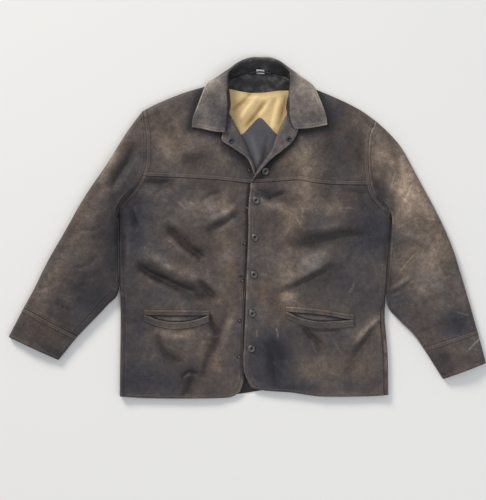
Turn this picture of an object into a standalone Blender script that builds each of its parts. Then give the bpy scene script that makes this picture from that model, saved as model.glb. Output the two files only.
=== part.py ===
"""A worn leather coat, laid flat on its back with its fronts closed edge to edge.

Lengths are in millimetres until a mesh is made. +X runs across the coat to the wearer's
left, +Y runs from the hem to the collar, and +Z points up from the surface it lies on.
Every leather piece is a wall: a sheet of points on its outer face, given its thickness.
"""

import math

import bmesh
import bpy
import numpy as np
from mathutils.bvhtree import BVHTree

MM = 0.001

# Driving dimensions of the coat.
BODY_LENGTH = 783.0
LEATHER = 1.5
FACING = 1.2
LINING = 1.0
COLLAR_THICK = 2.4
SEAM = 0.4
FACING_GAP = 0.55
EDGE_RADIUS = 7.0
LOFT = 2 * EDGE_RADIUS
CAP_RADIUS = 9.0
STUD_RADIUS = 4.8
RING_RADIUS = 6.0

# Heights of the front edges, the right front lying under the left one.
UNDER_EDGE_HEIGHT = 8.5
OVER_EDGE_HEIGHT = 15.2
NECK_HEIGHT = 9.5

# How the lapels turn back at the neck: the leather curls up, over and out, its facing on top.
CURL_RADIUS = 3.0
LAPEL_STACK = LEATHER + FACING_GAP + FACING
STRIP = 45.0
LAPEL_REST = 0.8
NECK_X = 31.0
NECK_HALF = 64.0

# Rows shared by the pieces that meet, so that their edges run point to point.
SIDE_ROWS = 20
LOWER_ARM_ROWS = 4
UPPER_ARM_ROWS = 8

HEM = -BODY_LENGTH / 2

# Pocket mouths, each as its upper and its lower lip, and the welts along them.
POCKET_MOUTHS = {
    "right": (
        [(-236, -199), (-161, -200), (-86, -200)],
        [(-236, -199), (-200, -212), (-161, -217), (-121, -212), (-86, -200)],
    ),
    "left": (
        [(89, -191), (168, -198), (246, -211)],
        [(89, -191), (124, -207), (164, -215), (207, -214), (246, -211)],
    ),
}
MOUTH_END = 1.2
MOUTH_CELLS = 5
MOUTH_ROW = 8
MOUTH_COLUMN = 2
WELT_DEPTH = 11.0
BAG_ABOVE = 12.0
BAG_BELOW = 16.0
WELT_REACH = 0.8
WELT_LIFT = LEATHER + 2 * SEAM

# Snap fasteners, from the neck down: caps on the left edge, studs on the right one.
SNAP_CAPS = [(42, 130), (21, 63), (18, -22), (16, -107), (12, -196), (10, -277)]
SNAP_STUDS = [(5, 132), (1, 45), (-5, -37), (-10, -122), (-17, -213), (-18, -296)]

BELOW = np.array([0.0, 0.0, -1e4])

# The middle of the finished coat in the frame of the outlines below. The part has its origin there.
CENTRE = np.array([0.995, 0.131, 0.0])


# Outlines, each read from the cut of one side: "right" is the wearer's right.
SIDES = {
    "right": {
        "hem": [(-292, HEM + 5), (-233, HEM + 1), (-145, HEM), (-66, HEM + 1), (-34, HEM + 4), (-16, HEM + 16)],
        "front": [(-16, HEM + 16), (-6, -344), (-4, -296), (-2, -211), (5, -121), (11, -36), (16, 47), (20, 102)],
        "side": [(-292, HEM + 5), (-291, -303), (-290, -222), (-291, -147), (-294, -50), (-295, 37)],
        "armhole": [(-295, 37), (-287, 56), (-259, 88), (-240, 119), (-231, 154), (-231, 210), (-239, 268)],
        "yoke": [(-240, 119), (-150, 115), (-66, 110), (-11, 104), (20, 102)],
        "shoulder": [(-239, 268), (-206, 285), (-150, 308), (-94, 325), (-43, 338)],
        "roll": [(20, 102), (19, 139), (9, 160), (-2, 188), (-13, 211), (-29, 243), (-40, 272), (-44, 305),
                 (-43, 338)],
        "turned": [(112, 0), (133, 9.5), (152, 9.5), (165, 14.5), (179, 27.5), (186, 39.5), (198, 53.5), (214, 44),
                   (232, 42), (268, 0)],
        "under": [(None, 37), (None, 0), (None, -45), (None, -95), (None, -146), (-322, -180), (-358, -218),
                  (-388, -249), (-432, -303)],
        "outer": [(-239, 268), (-278, 216), (-323, 143), (-373, 71), (-417, -7), (-456, -74), (-488, -139),
                  (-512, -183), (-547, -250)],
    },
    "left": {
        "hem": [(325, HEM + 8), (269, HEM + 5), (169, HEM + 5), (103, HEM + 14), (44, HEM + 18), (11, HEM + 24)],
        "front": [(11, HEM + 24), (-5, -336), (-8, -303), (-4, -211), (-1, -119), (3, -27), (4, 54), (10, 104)],
        "side": [(325, HEM + 8), (324, -307), (321, -255), (317, -215), (317, -184), (322, -110), (329, -24),
                 (331, 35)],
        "armhole": [(331, 35), (314, 49), (295, 71), (284, 98), (278, 155), (281, 210), (295, 246)],
        "yoke": [(284, 98), (214, 99), (158, 103), (119, 110), (75, 107), (24, 104), (10, 104)],
        "shoulder": [(295, 246), (259, 271), (214, 294), (153, 320), (106, 338)],
        "roll": [(10, 104), (19, 125), (35, 146), (56, 180), (70, 215), (82, 244), (92, 272), (101, 305), (106, 338)],
        "turned": [(108, 0), (132, 10), (152, 13.5), (171, 20.5), (186, 36.5), (205, 45.5), (215, 46.5), (232, 43),
                   (268, 0)],
        "under": [(None, 35), (None, 0), (None, -50), (None, -100), (None, -172), (350, -213), (378, -240),
                  (404, -275), (450, -347)],
        "outer": [(295, 246), (348, 193), (392, 115), (437, 32), (470, -41), (488, -96), (509, -166), (528, -233),
                  (549, -310)],
    },
}

# The largest folds: a name, the line it follows, its half width and its height, a trough if negative.
FOLDS = {
    "right": [
        ("drag from the side seam", [(-258, -79), (-184, -124), (-143, -141), (-72, -163)], 17, -6.5),
        ("roll above that drag", [(-250, -50), (-160, -98), (-80, -132)], 16, 3.0),
        ("drag below the chest", [(-186, 3), (-120, -52), (-94, -74)], 15, -4.5),
        ("pull to the third snap", [(-92, -16), (-46, 26)], 14, -4.0),
        ("slack under the yoke", [(-104, 100), (-58, 68)], 13, -2.5),
        ("hollow below the yoke", [(-205, 104), (-160, 96)], 15, -3.0),
        ("armhole pucker", [(-262, 40), (-246, -6)], 12, -2.5),
        ("fold from the pocket", [(-88, -196), (-72, -240), (-104, -345)], 12, -4.0),
        ("hem wave", [(-124, -320), (-146, -392)], 14, -3.0),
    ],
    "left": [
        ("slack under the yoke", [(64, 68), (103, 60), (130, 66)], 13, -4.0),
        ("chest hollow", [(85, -2), (175, -29), (250, -12)], 26, -4.5),
        ("drag to the chest", [(69, -152), (197, -52)], 17, 3.5),
        ("hollow under that drag", [(118, -166), (230, -84)], 20, -3.5),
        ("pull at the side seam", [(304, -198), (271, -245), (242, -266)], 13, 3.0),
        ("fold below the pocket", [(128, -235), (176, -284)], 13, -3.0),
        ("hem drop", [(62, -246), (62, -366)], 14, -3.0),
    ],
}


def smooth_curve(points, at):
    """Points at the given knot numbers on a smooth curve through all the points."""
    points = np.asarray(points, float)
    at = np.clip(np.asarray(at, float), 0, len(points) - 1)
    padded = np.vstack([2 * points[0] - points[1], points, 2 * points[-1] - points[-2]])
    k = np.minimum(at.astype(int), len(points) - 2)
    t = (at - k)[:, None]
    p0, p1, p2, p3 = padded[k], padded[k + 1], padded[k + 2], padded[k + 3]
    square, cube = 2 * p0 - 5 * p1 + 4 * p2 - p3, 3 * p1 - p0 - 3 * p2 + p3
    return 0.5 * (2 * p1 + (p2 - p0) * t + square * t**2 + cube * t**3)


class Line:
    """A smooth line through points, read by the share of its length."""

    def __init__(self, points):
        self.dense = smooth_curve(points, np.linspace(0, len(points) - 1, 40 * (len(points) - 1) + 1))
        steps = np.linalg.norm(np.diff(self.dense, axis=0), axis=1)
        self.along = np.concatenate([[0], np.cumsum(steps)])
        self.length = self.along[-1]

    def __call__(self, share):
        share = np.asarray(share, float) * self.length
        return np.stack([np.interp(share, self.along, axis) for axis in self.dense.T], axis=-1)

    def x_at(self, y):
        order = np.argsort(self.dense[:, 1])
        return np.interp(y, self.dense[order, 1], self.dense[order, 0])

    def share_at(self, y):
        return float(np.interp(y, self.dense[:, 1], self.along)) / self.length


class Rows:
    """Straight steps between points, read by the share of their number: the edge of a grid."""

    def __init__(self, points, shares=None):
        self.points = np.asarray(points, float)
        self.shares = np.linspace(0, 1, len(self.points)) if shares is None else shares

    def __call__(self, share):
        return np.stack([np.interp(share, self.shares, axis) for axis in self.points.T], axis=-1)


def patch(bottom, top, start, end, u, v):
    """Coons patch: the smooth area between four lines, at u from start to end and v from bottom to top."""
    b, t = bottom(u), top(u)
    s, e = start(v), end(v)
    u, v = u[..., None], v[..., None]
    corners = (
        (1 - u) * (1 - v) * bottom(np.zeros(1))
        + u * (1 - v) * bottom(np.ones(1))
        + (1 - u) * v * top(np.zeros(1))
        + u * v * top(np.ones(1))
    )
    return (1 - v) * b + v * t + (1 - u) * s + u * e - corners


def ease(x):
    """0 below 0, 1 above 1, smooth between."""
    x = np.clip(x, 0, 1)
    return x * x * (3 - 2 * x)


def fold_height(folds, xy):
    """Sum of the folds at each point: a soft trough or ridge across each line, fading at its ends."""
    total = np.zeros(xy.shape[:-1])
    for _, line, width, height in folds:
        line = np.asarray(line, float)
        steps = np.linalg.norm(np.diff(line, axis=0), axis=1)
        start = 0.0
        best = np.full(xy.shape[:-1], np.inf)
        share = np.zeros(xy.shape[:-1])
        for a, b, step in zip(line[:-1], line[1:], steps):
            t = np.clip(((xy - a) @ (b - a)) / step**2, 0, 1)
            away = np.linalg.norm(xy - (a + t[..., None] * (b - a)), axis=-1)
            share = np.where(away < best, (start + t * step) / steps.sum(), share)
            best = np.minimum(best, away)
            start += step
        total += height * np.exp(-((best / width) ** 2)) * (1 - np.abs(2 * share - 1) ** 4)
    return total


def edge_section(arc, radius):
    """Distance in from the outline and height, along a rounded edge from the floor round to the top."""
    turn = np.clip(arc / radius, 0, math.pi)
    flat = np.maximum(-arc, 0) + np.maximum(arc - math.pi * radius, 0)
    return radius - radius * np.sin(turn) + flat, radius - radius * np.cos(turn)


def step_along(grid, axis, closed=False):
    if closed:
        return np.roll(grid, -1, axis) - np.roll(grid, 1, axis)
    return np.gradient(grid, axis=axis, edge_order=min(2, grid.shape[axis] - 1))


def inward_of(grid, inside, closed=False):
    """Unit vectors from each point of a face into its wall: square to the rows and the columns."""
    normal = np.cross(step_along(grid, 1, closed), step_along(grid, 0))
    normal /= np.maximum(np.linalg.norm(normal, axis=-1, keepdims=True), 1e-9)
    return normal if np.sum(normal * (grid - inside)) < 0 else -normal


def round_inward(across, lean, wrap, flat_z):
    """Inward vectors along a rounded edge: across the piece, and flat_z where it isn't rounded."""
    side = np.sin(lean) * wrap
    up = np.cos(lean) * wrap + flat_z * (1 - wrap)
    vector = np.dstack([across[:, None] * side[..., None], up])
    return vector / np.linalg.norm(vector, axis=-1, keepdims=True)


def leather(name, rgb, roughness=0.62, metallic=0.0):
    material = bpy.data.materials.get(name) or bpy.data.materials.new(name)
    material.use_nodes = True
    shader = material.node_tree.nodes["Principled BSDF"]
    shader.inputs["Base Color"].default_value = (*rgb, 1)
    shader.inputs["Roughness"].default_value = roughness
    shader.inputs["Metallic"].default_value = metallic
    return material


def triangles(index, kept=None):
    """Two triangles for each kept cell of a grid of point numbers, cut along the same diagonal everywhere."""
    kept = np.ones((index.shape[0] - 1, index.shape[1] - 1), bool) if kept is None else kept
    a, b, c, d = index[:-1, :-1][kept], index[:-1, 1:][kept], index[1:, 1:][kept], index[1:, :-1][kept]
    return np.concatenate([np.stack([a, b, c], -1), np.stack([a, c, d], -1)])


def rim_of(faces, points):
    """Triangles that close a wall along the edges that only one outer face uses.

    Each is cut from its upper outer point, so that the two rims along a seam are cut alike.
    """
    edges = np.concatenate([faces[:, [0, 1]], faces[:, [1, 2]], faces[:, [2, 0]]])
    _, first, count = np.unique(np.sort(edges, axis=1), axis=0, return_index=True, return_counts=True)
    a, b = edges[first[count == 1]].T
    in_a, in_b = a + len(points) // 2, b + len(points) // 2
    rising = points[b, 1] > points[a, 1]
    corner = np.where(rising, in_a, in_b)
    outer = np.where(rising, b, a)
    return np.concatenate([np.stack([b, a, corner], -1), np.stack([outer, in_a, in_b], -1)])


def shell(name, outer, inward, thickness, material, closed=False, kept=None):
    """One cloth piece: the grid of its outer face, the same grid moved in by its thickness, and a rim."""
    rows, columns = outer.shape[:2]
    points = np.concatenate([outer.reshape(-1, 3), (outer + inward * thickness).reshape(-1, 3)])
    points[:, 2] = np.maximum(points[:, 2], 0)
    index = np.arange(rows * columns).reshape(rows, columns)
    if closed:
        index = np.hstack([index, index[:, :1]])
    faces = triangles(index, kept)
    out = np.cross(outer[:-1, 1:] - outer[:-1, :-1], outer[1:, :-1] - outer[:-1, :-1])
    if np.sum(out * inward[:-1, :-1]) > 0:
        faces = faces[:, ::-1]
    faces = np.concatenate([faces, faces[:, ::-1] + rows * columns, rim_of(faces, points)])
    mesh = bpy.data.meshes.new(name)
    mesh.from_pydata(((points - CENTRE) * MM).tolist(), [], faces.tolist())
    piece = bpy.data.objects.new(name, mesh)
    bpy.context.scene.collection.objects.link(piece)
    mesh.materials.append(material)
    mesh.shade_smooth()
    return piece


class Front:
    """One front of the coat, from its hem to its shoulder, as points on its outer face."""

    EDGE_CELLS = 5
    BEFORE_CURL = [-STRIP, -22.0]
    EDGE_BAND = 8.0
    CURL_CELLS = 4
    OVER_CELLS = 2
    BODY_STRIP_CELLS = 4
    ROLL_SHARES = [0, 0.124, 0.242, 0.341, 0.41, 0.48, 0.57, 0.72, 1]
    SHOULDER_ROWS = 5
    # Shares of the columns between the rounded side and the front strip, two of them at the mouth's ends.
    MIDDLE_SHARES = {
        "right": np.array([0, 0.08, 0.156, 0.29, 0.424, 0.558, 0.692, 0.826, 1]),
        "left": np.array([0, 0.1, 0.198, 0.32, 0.442, 0.565, 0.687, 0.809, 1]),
    }

    def __init__(self, side):
        cut = SIDES[side]
        self.side = side
        self.folds = FOLDS[side]
        self.sign = -1 if side == "right" else 1
        self.side_line = Line(cut["side"])
        self.armhole = Line(cut["armhole"])
        self.yoke = Line(cut["yoke"])
        self.shoulder = Line(cut["shoulder"])
        self.hem = Line(cut["hem"])
        self.front = Line(cut["front"])
        self.roll = Line(cut["roll"])
        self.armpit = cut["armhole"][0]
        at_yoke = self.armhole.share_at(cut["yoke"][0][1])
        low = np.linspace(0, at_yoke, LOWER_ARM_ROWS + 1)
        high = np.linspace(at_yoke, 1, UPPER_ARM_ROWS + 1)
        self.arm_shares = np.concatenate([low, high[1:]])
        self.side_points = self.side_line(np.linspace(0, 1, SIDE_ROWS + 1))
        self.arm_points = self.armhole(self.arm_shares)
        self.turned = np.array(cut["turned"], float)
        self.front_edge = np.vstack([self.side_points, self.arm_points[1:]])
        self.back_edge = np.vstack([self.side_points, self.arm_points[2::2]])

    def height(self, xy):
        """Height of the outer face away from the rounded edges."""
        x, y = xy[..., 0], xy[..., 1]
        front_x = np.where(y < self.roll.dense[0, 1], self.front.x_at(y), self.roll.x_at(y))
        from_front = np.abs(x - front_x)
        if self.side == "right":
            edge = np.full(x.shape, UNDER_EDGE_HEIGHT)
        else:
            edge = 12.0 + (OVER_EDGE_HEIGHT - 12.0) * ease((y + 330) / 260)
        edge = edge + (NECK_HEIGHT - edge) * ease((y - 118) / 60)
        z = edge + (LOFT + 1 - edge) * ease(from_front / 70)
        z = z - 3.5 * np.exp(-np.maximum(y - HEM, 0) / 22)
        return np.maximum(z + fold_height(self.folds, xy), UNDER_EDGE_HEIGHT - 1)

    def seam_arc(self, y):
        """Where the side seam lies on the rounded edge: near the floor, or up on the top near the left hem."""
        low = 0.9 * EDGE_RADIUS
        if self.side == "right":
            return np.full(y.shape, low)
        high = math.pi * EDGE_RADIUS + 5
        return high + (low - high) * ease((y + 215) / 125)

    def wrapped(self, y):
        """1 where the side is a rounded edge, 0 above the armpit."""
        return 1 - ease((y - self.armpit[1] + 26) / 30)

    def side_columns(self, y):
        """Distances from the side, heights and turns of the columns round the rounded edge, for rows at y."""
        start = self.seam_arc(y)[:, None]
        end = math.pi * EDGE_RADIUS + 12
        arc = start + (end - start) * np.linspace(0, 1, self.EDGE_CELLS + 1)
        inset, lift = edge_section(arc, EDGE_RADIUS)
        wrap = self.wrapped(y)[:, None]
        flat = arc - start + SEAM
        lean = np.clip(arc / EDGE_RADIUS, 0, math.pi)
        return wrap * (inset + SEAM / 2) + (1 - wrap) * flat, wrap * (lift - 2 * EDGE_RADIUS), lean

    def edge_x(self, y, on_floor):
        """X of the side and the armhole, where the back's edge runs from every second point of the armhole."""
        back, front = self.back_edge, self.front_edge
        return np.where(on_floor, np.interp(y, back[:, 1], back[:, 0]), np.interp(y, front[:, 1], front[:, 0]))

    def strip_columns(self, y, cells):
        """Distances from the front edge and rises of the columns along it, curled over where the lapel turns."""
        turned = np.interp(y, self.turned[:, 0], self.turned[:, 1], left=0, right=0)[:, None]
        arc = -STRIP + (STRIP + turned) * np.linspace(0, 1, cells + 1)
        if cells > self.BODY_STRIP_CELLS:
            steps = np.linspace(0, 1, self.CURL_CELLS + self.OVER_CELLS + 1)
            even = -self.EDGE_BAND + (self.EDGE_BAND + turned) * steps
            curl = np.broadcast_to(math.pi * CURL_RADIUS * np.linspace(0, 1, self.CURL_CELLS + 1), (len(y), 5))
            over = curl[:, -1:] + np.maximum(turned - curl[:, -1:], 1) * np.linspace(0, 1, self.OVER_CELLS + 1)[1:]
            share = ease((turned / curl[:, -1:] - 0.5) / 0.5)
            curled = even + (np.hstack([curl, over]) - even) * share
            arc = np.hstack([np.broadcast_to(self.BEFORE_CURL, (len(y), 2)), curled])
        turn = np.clip(arc / CURL_RADIUS, 0, math.pi)
        over = np.maximum(arc - math.pi * CURL_RADIUS, 0)
        curl_in = (CURL_RADIUS + LAPEL_STACK) * np.sin(np.minimum(turned / CURL_RADIUS, math.pi / 2))
        from_front = curl_in - CURL_RADIUS * np.sin(turn) + np.maximum(-arc, 0) + over
        sink = (2 * CURL_RADIUS - LAPEL_REST) * ease(over / 34)
        return from_front, CURL_RADIUS * (1 - np.cos(turn)) - sink

    def grid(self, part):
        """Points and inward vectors of the lower front or the yoke: rows up from the hem, columns from the side."""
        if part == "body":
            start = Rows(np.vstack([self.side_points, self.arm_points[1 : LOWER_ARM_ROWS + 1]]))
            lines = (self.hem, self.yoke, start, self.front)
            v = np.linspace(0, 1, len(start.points))
            v[-1] -= SEAM / 2 / self.front.length
            strip_cells = self.BODY_STRIP_CELLS
        else:
            start = Rows(self.arm_points[LOWER_ARM_ROWS:])
            lines = (self.yoke, self.shoulder, start, Rows(self.roll(self.ROLL_SHARES)))
            v = np.linspace(0, 1, len(start.points))[:-1]
            v[0] += SEAM / 2 / self.roll.length
            strip_cells = 1 + self.CURL_CELLS + self.OVER_CELLS + 1
        begin, end = patch(*lines, np.zeros(len(v)), v), patch(*lines, np.ones(len(v)), v)
        length = np.linalg.norm(end - begin, axis=-1)
        inset, drop, lean = self.side_columns(begin[:, 1])
        from_front, rise = self.strip_columns(end[:, 1], strip_cells)
        first, last = inset[:, -1], length - from_front[:, 0]
        middle = first[:, None] + (last - first)[:, None] * self.MIDDLE_SHARES[self.side][1:-1]
        across = np.hstack([inset, middle, length[:, None] - from_front])
        u = across / length[:, None]
        xy = patch(*lines, np.clip(u, 0, 1), np.broadcast_to(v[:, None], u.shape))
        if part == "body":
            xy[self.mouth_rows(), self.mouth_columns()] = self.mouth_lips()
        z = LOFT + (self.height(xy) - LOFT) * ease((across - EDGE_RADIUS) / 30)
        z[:, : inset.shape[1]] += drop
        z[:, -rise.shape[1] :] += rise
        grid = np.dstack([xy, z])
        if part == "yoke":
            grid = self.over_the_shoulder(grid)
            return grid, inward_of(grid, BELOW)
        inward = inward_of(grid, BELOW)
        across = (end - begin) / length[:, None]
        inward[:, : inset.shape[1]] = round_inward(across, lean, self.wrapped(begin[:, 1])[:, None], -1.0)
        return grid, inward

    def mouth_rows(self):
        return slice(MOUTH_ROW, MOUTH_ROW + 2)

    def mouth_columns(self):
        first = self.EDGE_CELLS + MOUTH_COLUMN
        return slice(first, first + MOUTH_CELLS + 1)

    def mouth_lips(self):
        """Points of the lower and the upper lip of the pocket's mouth, in the order of the columns."""
        share = np.linspace(0, 1, MOUTH_CELLS + 1)
        if self.side == "left":
            share = share[::-1]
        ends = np.abs(2 * share - 1) > 0.99
        upper, lower = (Line(lip)(share) for lip in POCKET_MOUTHS[self.side])
        upper[ends, 1] += MOUTH_END
        lower[ends, 1] -= MOUTH_END
        return np.stack([lower, upper])

    def mouth_mask(self, rows, columns):
        """False for the cells that the pocket's mouth leaves out."""
        kept = np.ones((rows - 1, columns - 1), bool)
        kept[MOUTH_ROW, self.mouth_columns().start : self.mouth_columns().stop - 1] = False
        return kept

    def over_the_shoulder(self, grid):
        """Adds the rows that carry the yoke over the shoulder line and down to the floor."""
        last = grid[-1]
        steps = np.linalg.norm(np.diff(last[:, :2], axis=0), axis=1)
        u = np.concatenate([[0], np.cumsum(steps)]) / steps.sum()
        u = u + 2 * SEAM / self.shoulder.length * (1 - u)
        line = self.shoulder(u)
        inward = last[:, :2] - line
        inward /= np.linalg.norm(inward, axis=1)[:, None]
        radius = EDGE_RADIUS + (NECK_HEIGHT / 2 - EDGE_RADIUS) * ease((u - 0.45) / 0.45)
        rows = [grid]
        for turn in np.linspace(math.pi, 0.18 * math.pi, self.SHOULDER_ROWS + 1):
            inset = radius - radius * math.sin(turn)
            z = radius - radius * math.cos(turn)
            rows.append(np.column_stack([line + inward * inset[:, None], z])[None])
        return np.vstack(rows)


def facing_grid(body, yoke, body_in, yoke_in):
    """Points and inward vectors of the facing under one front: the front's own points along its edge."""
    cells = 1 + Front.CURL_CELLS + Front.OVER_CELLS + 1
    coarse = np.linspace(0, 1, Front.BODY_STRIP_CELLS + 1)
    fine = np.linspace(0, 1, cells + 1)
    rows = range(1, len(body) - 1, 2)

    def resampled(grid):
        strip = grid[rows, -len(coarse) :]
        return np.stack([[np.interp(fine, coarse, axis) for axis in row.T] for row in strip]).transpose(0, 2, 1)

    lapel = slice(0, UPPER_ARM_ROWS)
    points = np.vstack([resampled(body), yoke[lapel, -cells - 1 :]])
    inward = np.vstack([resampled(body_in), yoke_in[lapel, -cells - 1 :]])
    return points + inward * (LEATHER + FACING_GAP), inward


def back_grid(fronts):
    """Points and inward vectors of the back's outer face: flat on the floor, turned up to each side seam."""
    edge_cells, middle = 4, 7
    columns, heights, leans, wraps, edges = [], [], [], [], []
    for front in (fronts["right"], fronts["left"]):
        edge = front.back_edge
        y = edge[:, 1]
        start = front.seam_arc(y)[:, None] - SEAM
        arc = start * np.linspace(1, 0, edge_cells + 1)
        inset, lift = edge_section(arc, EDGE_RADIUS)
        wrap = front.wrapped(y)[:, None]
        edges.append(edge)
        columns.append(wrap * (inset + SEAM / 2) + (1 - wrap) * (SEAM + start - arc))
        heights.append(wrap * lift)
        leans.append(np.clip(arc / EDGE_RADIUS, 0, math.pi))
        wraps.append(wrap)
    r_hem, l_hem = SIDES["right"]["hem"], SIDES["left"]["hem"]
    bottom = Line([r_hem[0], (-145, HEM + 4), (-30, HEM + 9), (10, HEM + 17), (60, HEM + 20), (103, HEM + 17),
                   (169, HEM + 8), l_hem[0]])
    neck = [(-38, 340.5), (-10, 348), (31, 351), (72, 348), (101, 340.5)]
    top = Line(SIDES["right"]["shoulder"][:-1] + neck + SIDES["left"]["shoulder"][-2::-1])
    lines = (bottom, top, Rows(edges[0]), Rows(edges[1]))
    v = np.linspace(0, 1, len(edges[0]))
    begin, end = patch(*lines, np.zeros(len(v)), v), patch(*lines, np.ones(len(v)), v)
    length = np.linalg.norm(end - begin, axis=-1)
    first, last = columns[0][:, -1], length - columns[1][:, -1]
    inner = first[:, None] + (last - first)[:, None] * np.linspace(0, 1, middle + 1)[1:-1]
    across = np.hstack([columns[0], inner, (length[:, None] - columns[1])[:, ::-1]])
    u = across / length[:, None]
    xy = patch(*lines, np.clip(u, 0, 1), np.broadcast_to(v[:, None], u.shape))
    z = np.hstack([heights[0], np.zeros(inner.shape), heights[1][:, ::-1]])
    down = xy[-2] - xy[-1]
    from_neck = np.abs(xy[-1, :, 0] - NECK_X) - NECK_HALF
    under = (EDGE_RADIUS - 1.5) * ease(from_neck / 8) + 8 * np.exp(-(((from_neck - 46) / 25) ** 2))
    xy[-1] += down / np.linalg.norm(down, axis=1)[:, None] * under[:, None]
    towards = (end - begin) / length[:, None]
    inward = np.broadcast_to([0.0, 0.0, 1.0], (*z.shape, 3)).copy()
    inward[:, : edge_cells + 1] = round_inward(towards, leans[0], wraps[0], 1.0)
    inward[:, -edge_cells - 1 :] = round_inward(-towards, leans[1], wraps[1], 1.0)[:, ::-1]
    return np.dstack([xy, z]), inward


class Sleeve:
    """One sleeve: a flattened tube through sections across its length, from the armhole to the cuff's end."""

    SEAM_STATION = 7
    ROWS = 13
    ROUND_CELLS = 5
    NEAR_CELLS = 3
    CUFF_CELLS = 8
    TUCK = 15.0
    BESIDE = 2.2
    FAN = 8.0
    RISE = [(0, 1.0), (1, 6.0), (2, 10.0), (3.5, 13.0), (5, 12.0), (7, 8.0), (8, 6.0)]
    RADIUS = [(0, 7.0), (2, 8.5), (5, 8.5), (7, 7.5), (8, 7.0)]

    def __init__(self, front):
        cut = SIDES[front.side]
        self.front = front
        self.under = []
        for x, y in cut["under"]:
            if x is None:
                x = float(front.side_line.x_at(y)) + front.sign * self.BESIDE
            self.under.append((x, y))
        self.under[0] = tuple(front.arm_points[0])
        self.outer = [tuple(front.arm_points[-1])] + cut["outer"][1:]

    def seam_arc(self, station, radius):
        """Where the underarm seam lies, measured round the section from the floor."""
        at_edge = 0.45 * math.pi * radius
        if self.front.side == "left":
            return at_edge
        on_top = math.pi * radius + 8
        return at_edge + (on_top - at_edge) * ease((station - 2.5) / 2.0)

    def section(self, station, q, z, lean, radius):
        """Points and inward vectors for distances q from the underarm edge, 0 to 1 across, at a station."""
        a, b = smooth_curve(self.under, station)[:, None], smooth_curve(self.outer, station)[:, None]
        share = q[..., None]
        points, shares = self.front.arm_points, self.front.arm_shares
        on_floor = z < radius
        low = Rows(points[::2], shares[::2])(np.clip(q, 0, 1))
        high = Rows(points, shares)(np.clip(q, 0, 1))
        hole = np.where(on_floor[..., None], low, high)
        bow = hole - (points[0] + (points[-1] - points[0]) * share)
        bow[..., 0] += self.front.sign * SEAM
        fade = (1 - ease(station / 3.2))[:, None, None]
        xy = self.clear_of_body(station[:, None], a + (b - a) * share + bow * fade, on_floor)
        across = (b - a) / np.linalg.norm(b - a, axis=-1, keepdims=True)
        at_armpit = (1 - ease(station / 1.5))[:, None, None] * (lean > 0)[..., None]
        across = across * (1 - at_armpit) + np.array([self.front.sign, 0.0]) * at_armpit
        across = across / np.linalg.norm(across, axis=-1, keepdims=True) * np.sin(lean)[..., None]
        return np.dstack([xy, z]), np.dstack([across, np.cos(lean)])

    def clear_of_body(self, station, xy, on_floor):
        """The points moved sideways off the body, ever further from the armhole: the rows fan out at the armpit."""
        x, y = xy[..., 0], xy[..., 1]
        sign = self.front.sign
        above = ease((y - self.front.armpit[1] + 4) / 12)
        margin = self.FAN * ease(station / 1.2) * above + self.BESIDE * ease(station / 0.3) * (1 - above)
        edge = self.front.edge_x(y, on_floor)
        near = sign * np.maximum(sign * x, sign * edge + np.maximum(margin, SEAM))
        low = ease((160 - y) / 60) * (y > -200)
        return np.stack([x + (near - x) * low, y], -1)

    def ring(self, station, part):
        """Points of the outer face and inward vectors, a row for each station, for one part of the tube."""
        station = np.asarray(station, float)
        width = np.linalg.norm(smooth_curve(self.outer, station) - smooth_curve(self.under, station), axis=1)[:, None]
        radius = np.interp(station, *np.array(self.RADIUS).T)[:, None]
        rise = np.interp(station, *np.array(self.RISE).T)[:, None]
        seam = self.seam_arc(station[:, None], radius)
        spread = ease(station / 1.5)[:, None]
        gathered = 0.15 + 0.85 * ease(station / 1.2)[:, None]

        def top(q):
            t = np.clip((q - radius) / (width - 2 * radius), 0, 1)
            return 2 * radius + rise * ease(np.minimum(t, 1 - t) / 0.38)

        def near(first, last, cells):
            arc = first + (last - first) * np.linspace(0, 1, cells + 1)
            q, z = edge_section(arc, radius)
            z = z + np.where(q > radius, top(q) - 2 * radius, 0) * (arc > radius)
            return q * gathered, z, np.clip(arc / radius, 0, math.pi)

        def between(first, last, shares):
            even = first + (last - first) * np.linspace(0, 1, len(shares) + 2)[1:-1]
            return shares * width * (1 - spread) + even * spread

        turns = np.linspace(math.pi, 0, self.ROUND_CELLS + 1)
        far, far_z = width - radius + radius * np.sin(turns), radius - radius * np.cos(turns)
        far_lean = np.broadcast_to(-turns, far.shape)
        tuck = width - radius - self.TUCK
        round_arc = math.pi * radius
        if part == "top":
            q, z, lean = near(seam + SEAM / 2, np.maximum(seam + SEAM / 2, round_arc) + 5, self.NEAR_CELLS)
            middle = between(q[:, -1:], width - radius, self.front.arm_shares[1:-1])
            q = np.hstack([q, middle, far, tuck + SEAM / 2])
            z = np.hstack([z, top(middle), far_z, 0 * tuck])
            lean = np.hstack([lean, 0 * middle + math.pi, far_lean, 0 * tuck])
        elif part == "under":
            q, z, lean = near(0 * seam, seam - SEAM / 2, self.ROUND_CELLS)
            start = tuck - SEAM / 2
            floor = between(start, radius, self.front.arm_shares[2:-2:2][::-1])
            q = np.hstack([start, floor, q])
            z = np.hstack([0 * start, 0 * floor, z])
            lean = np.hstack([0 * start, 0 * floor, lean])
        else:
            q, z, lean = near(0 * seam, round_arc, self.ROUND_CELLS)
            middle = radius + (width - 2 * radius) * np.linspace(0, 1, self.CUFF_CELLS + 1)[1:-1]
            floor = middle[:, ::-3]
            q = np.hstack([q, middle, far, floor])
            z = np.hstack([z, top(middle), far_z, 0 * floor])
            lean = np.hstack([lean, 0 * middle + math.pi, far_lean, 0 * floor])
        return self.section(station, q / width, z, lean, radius)


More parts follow.
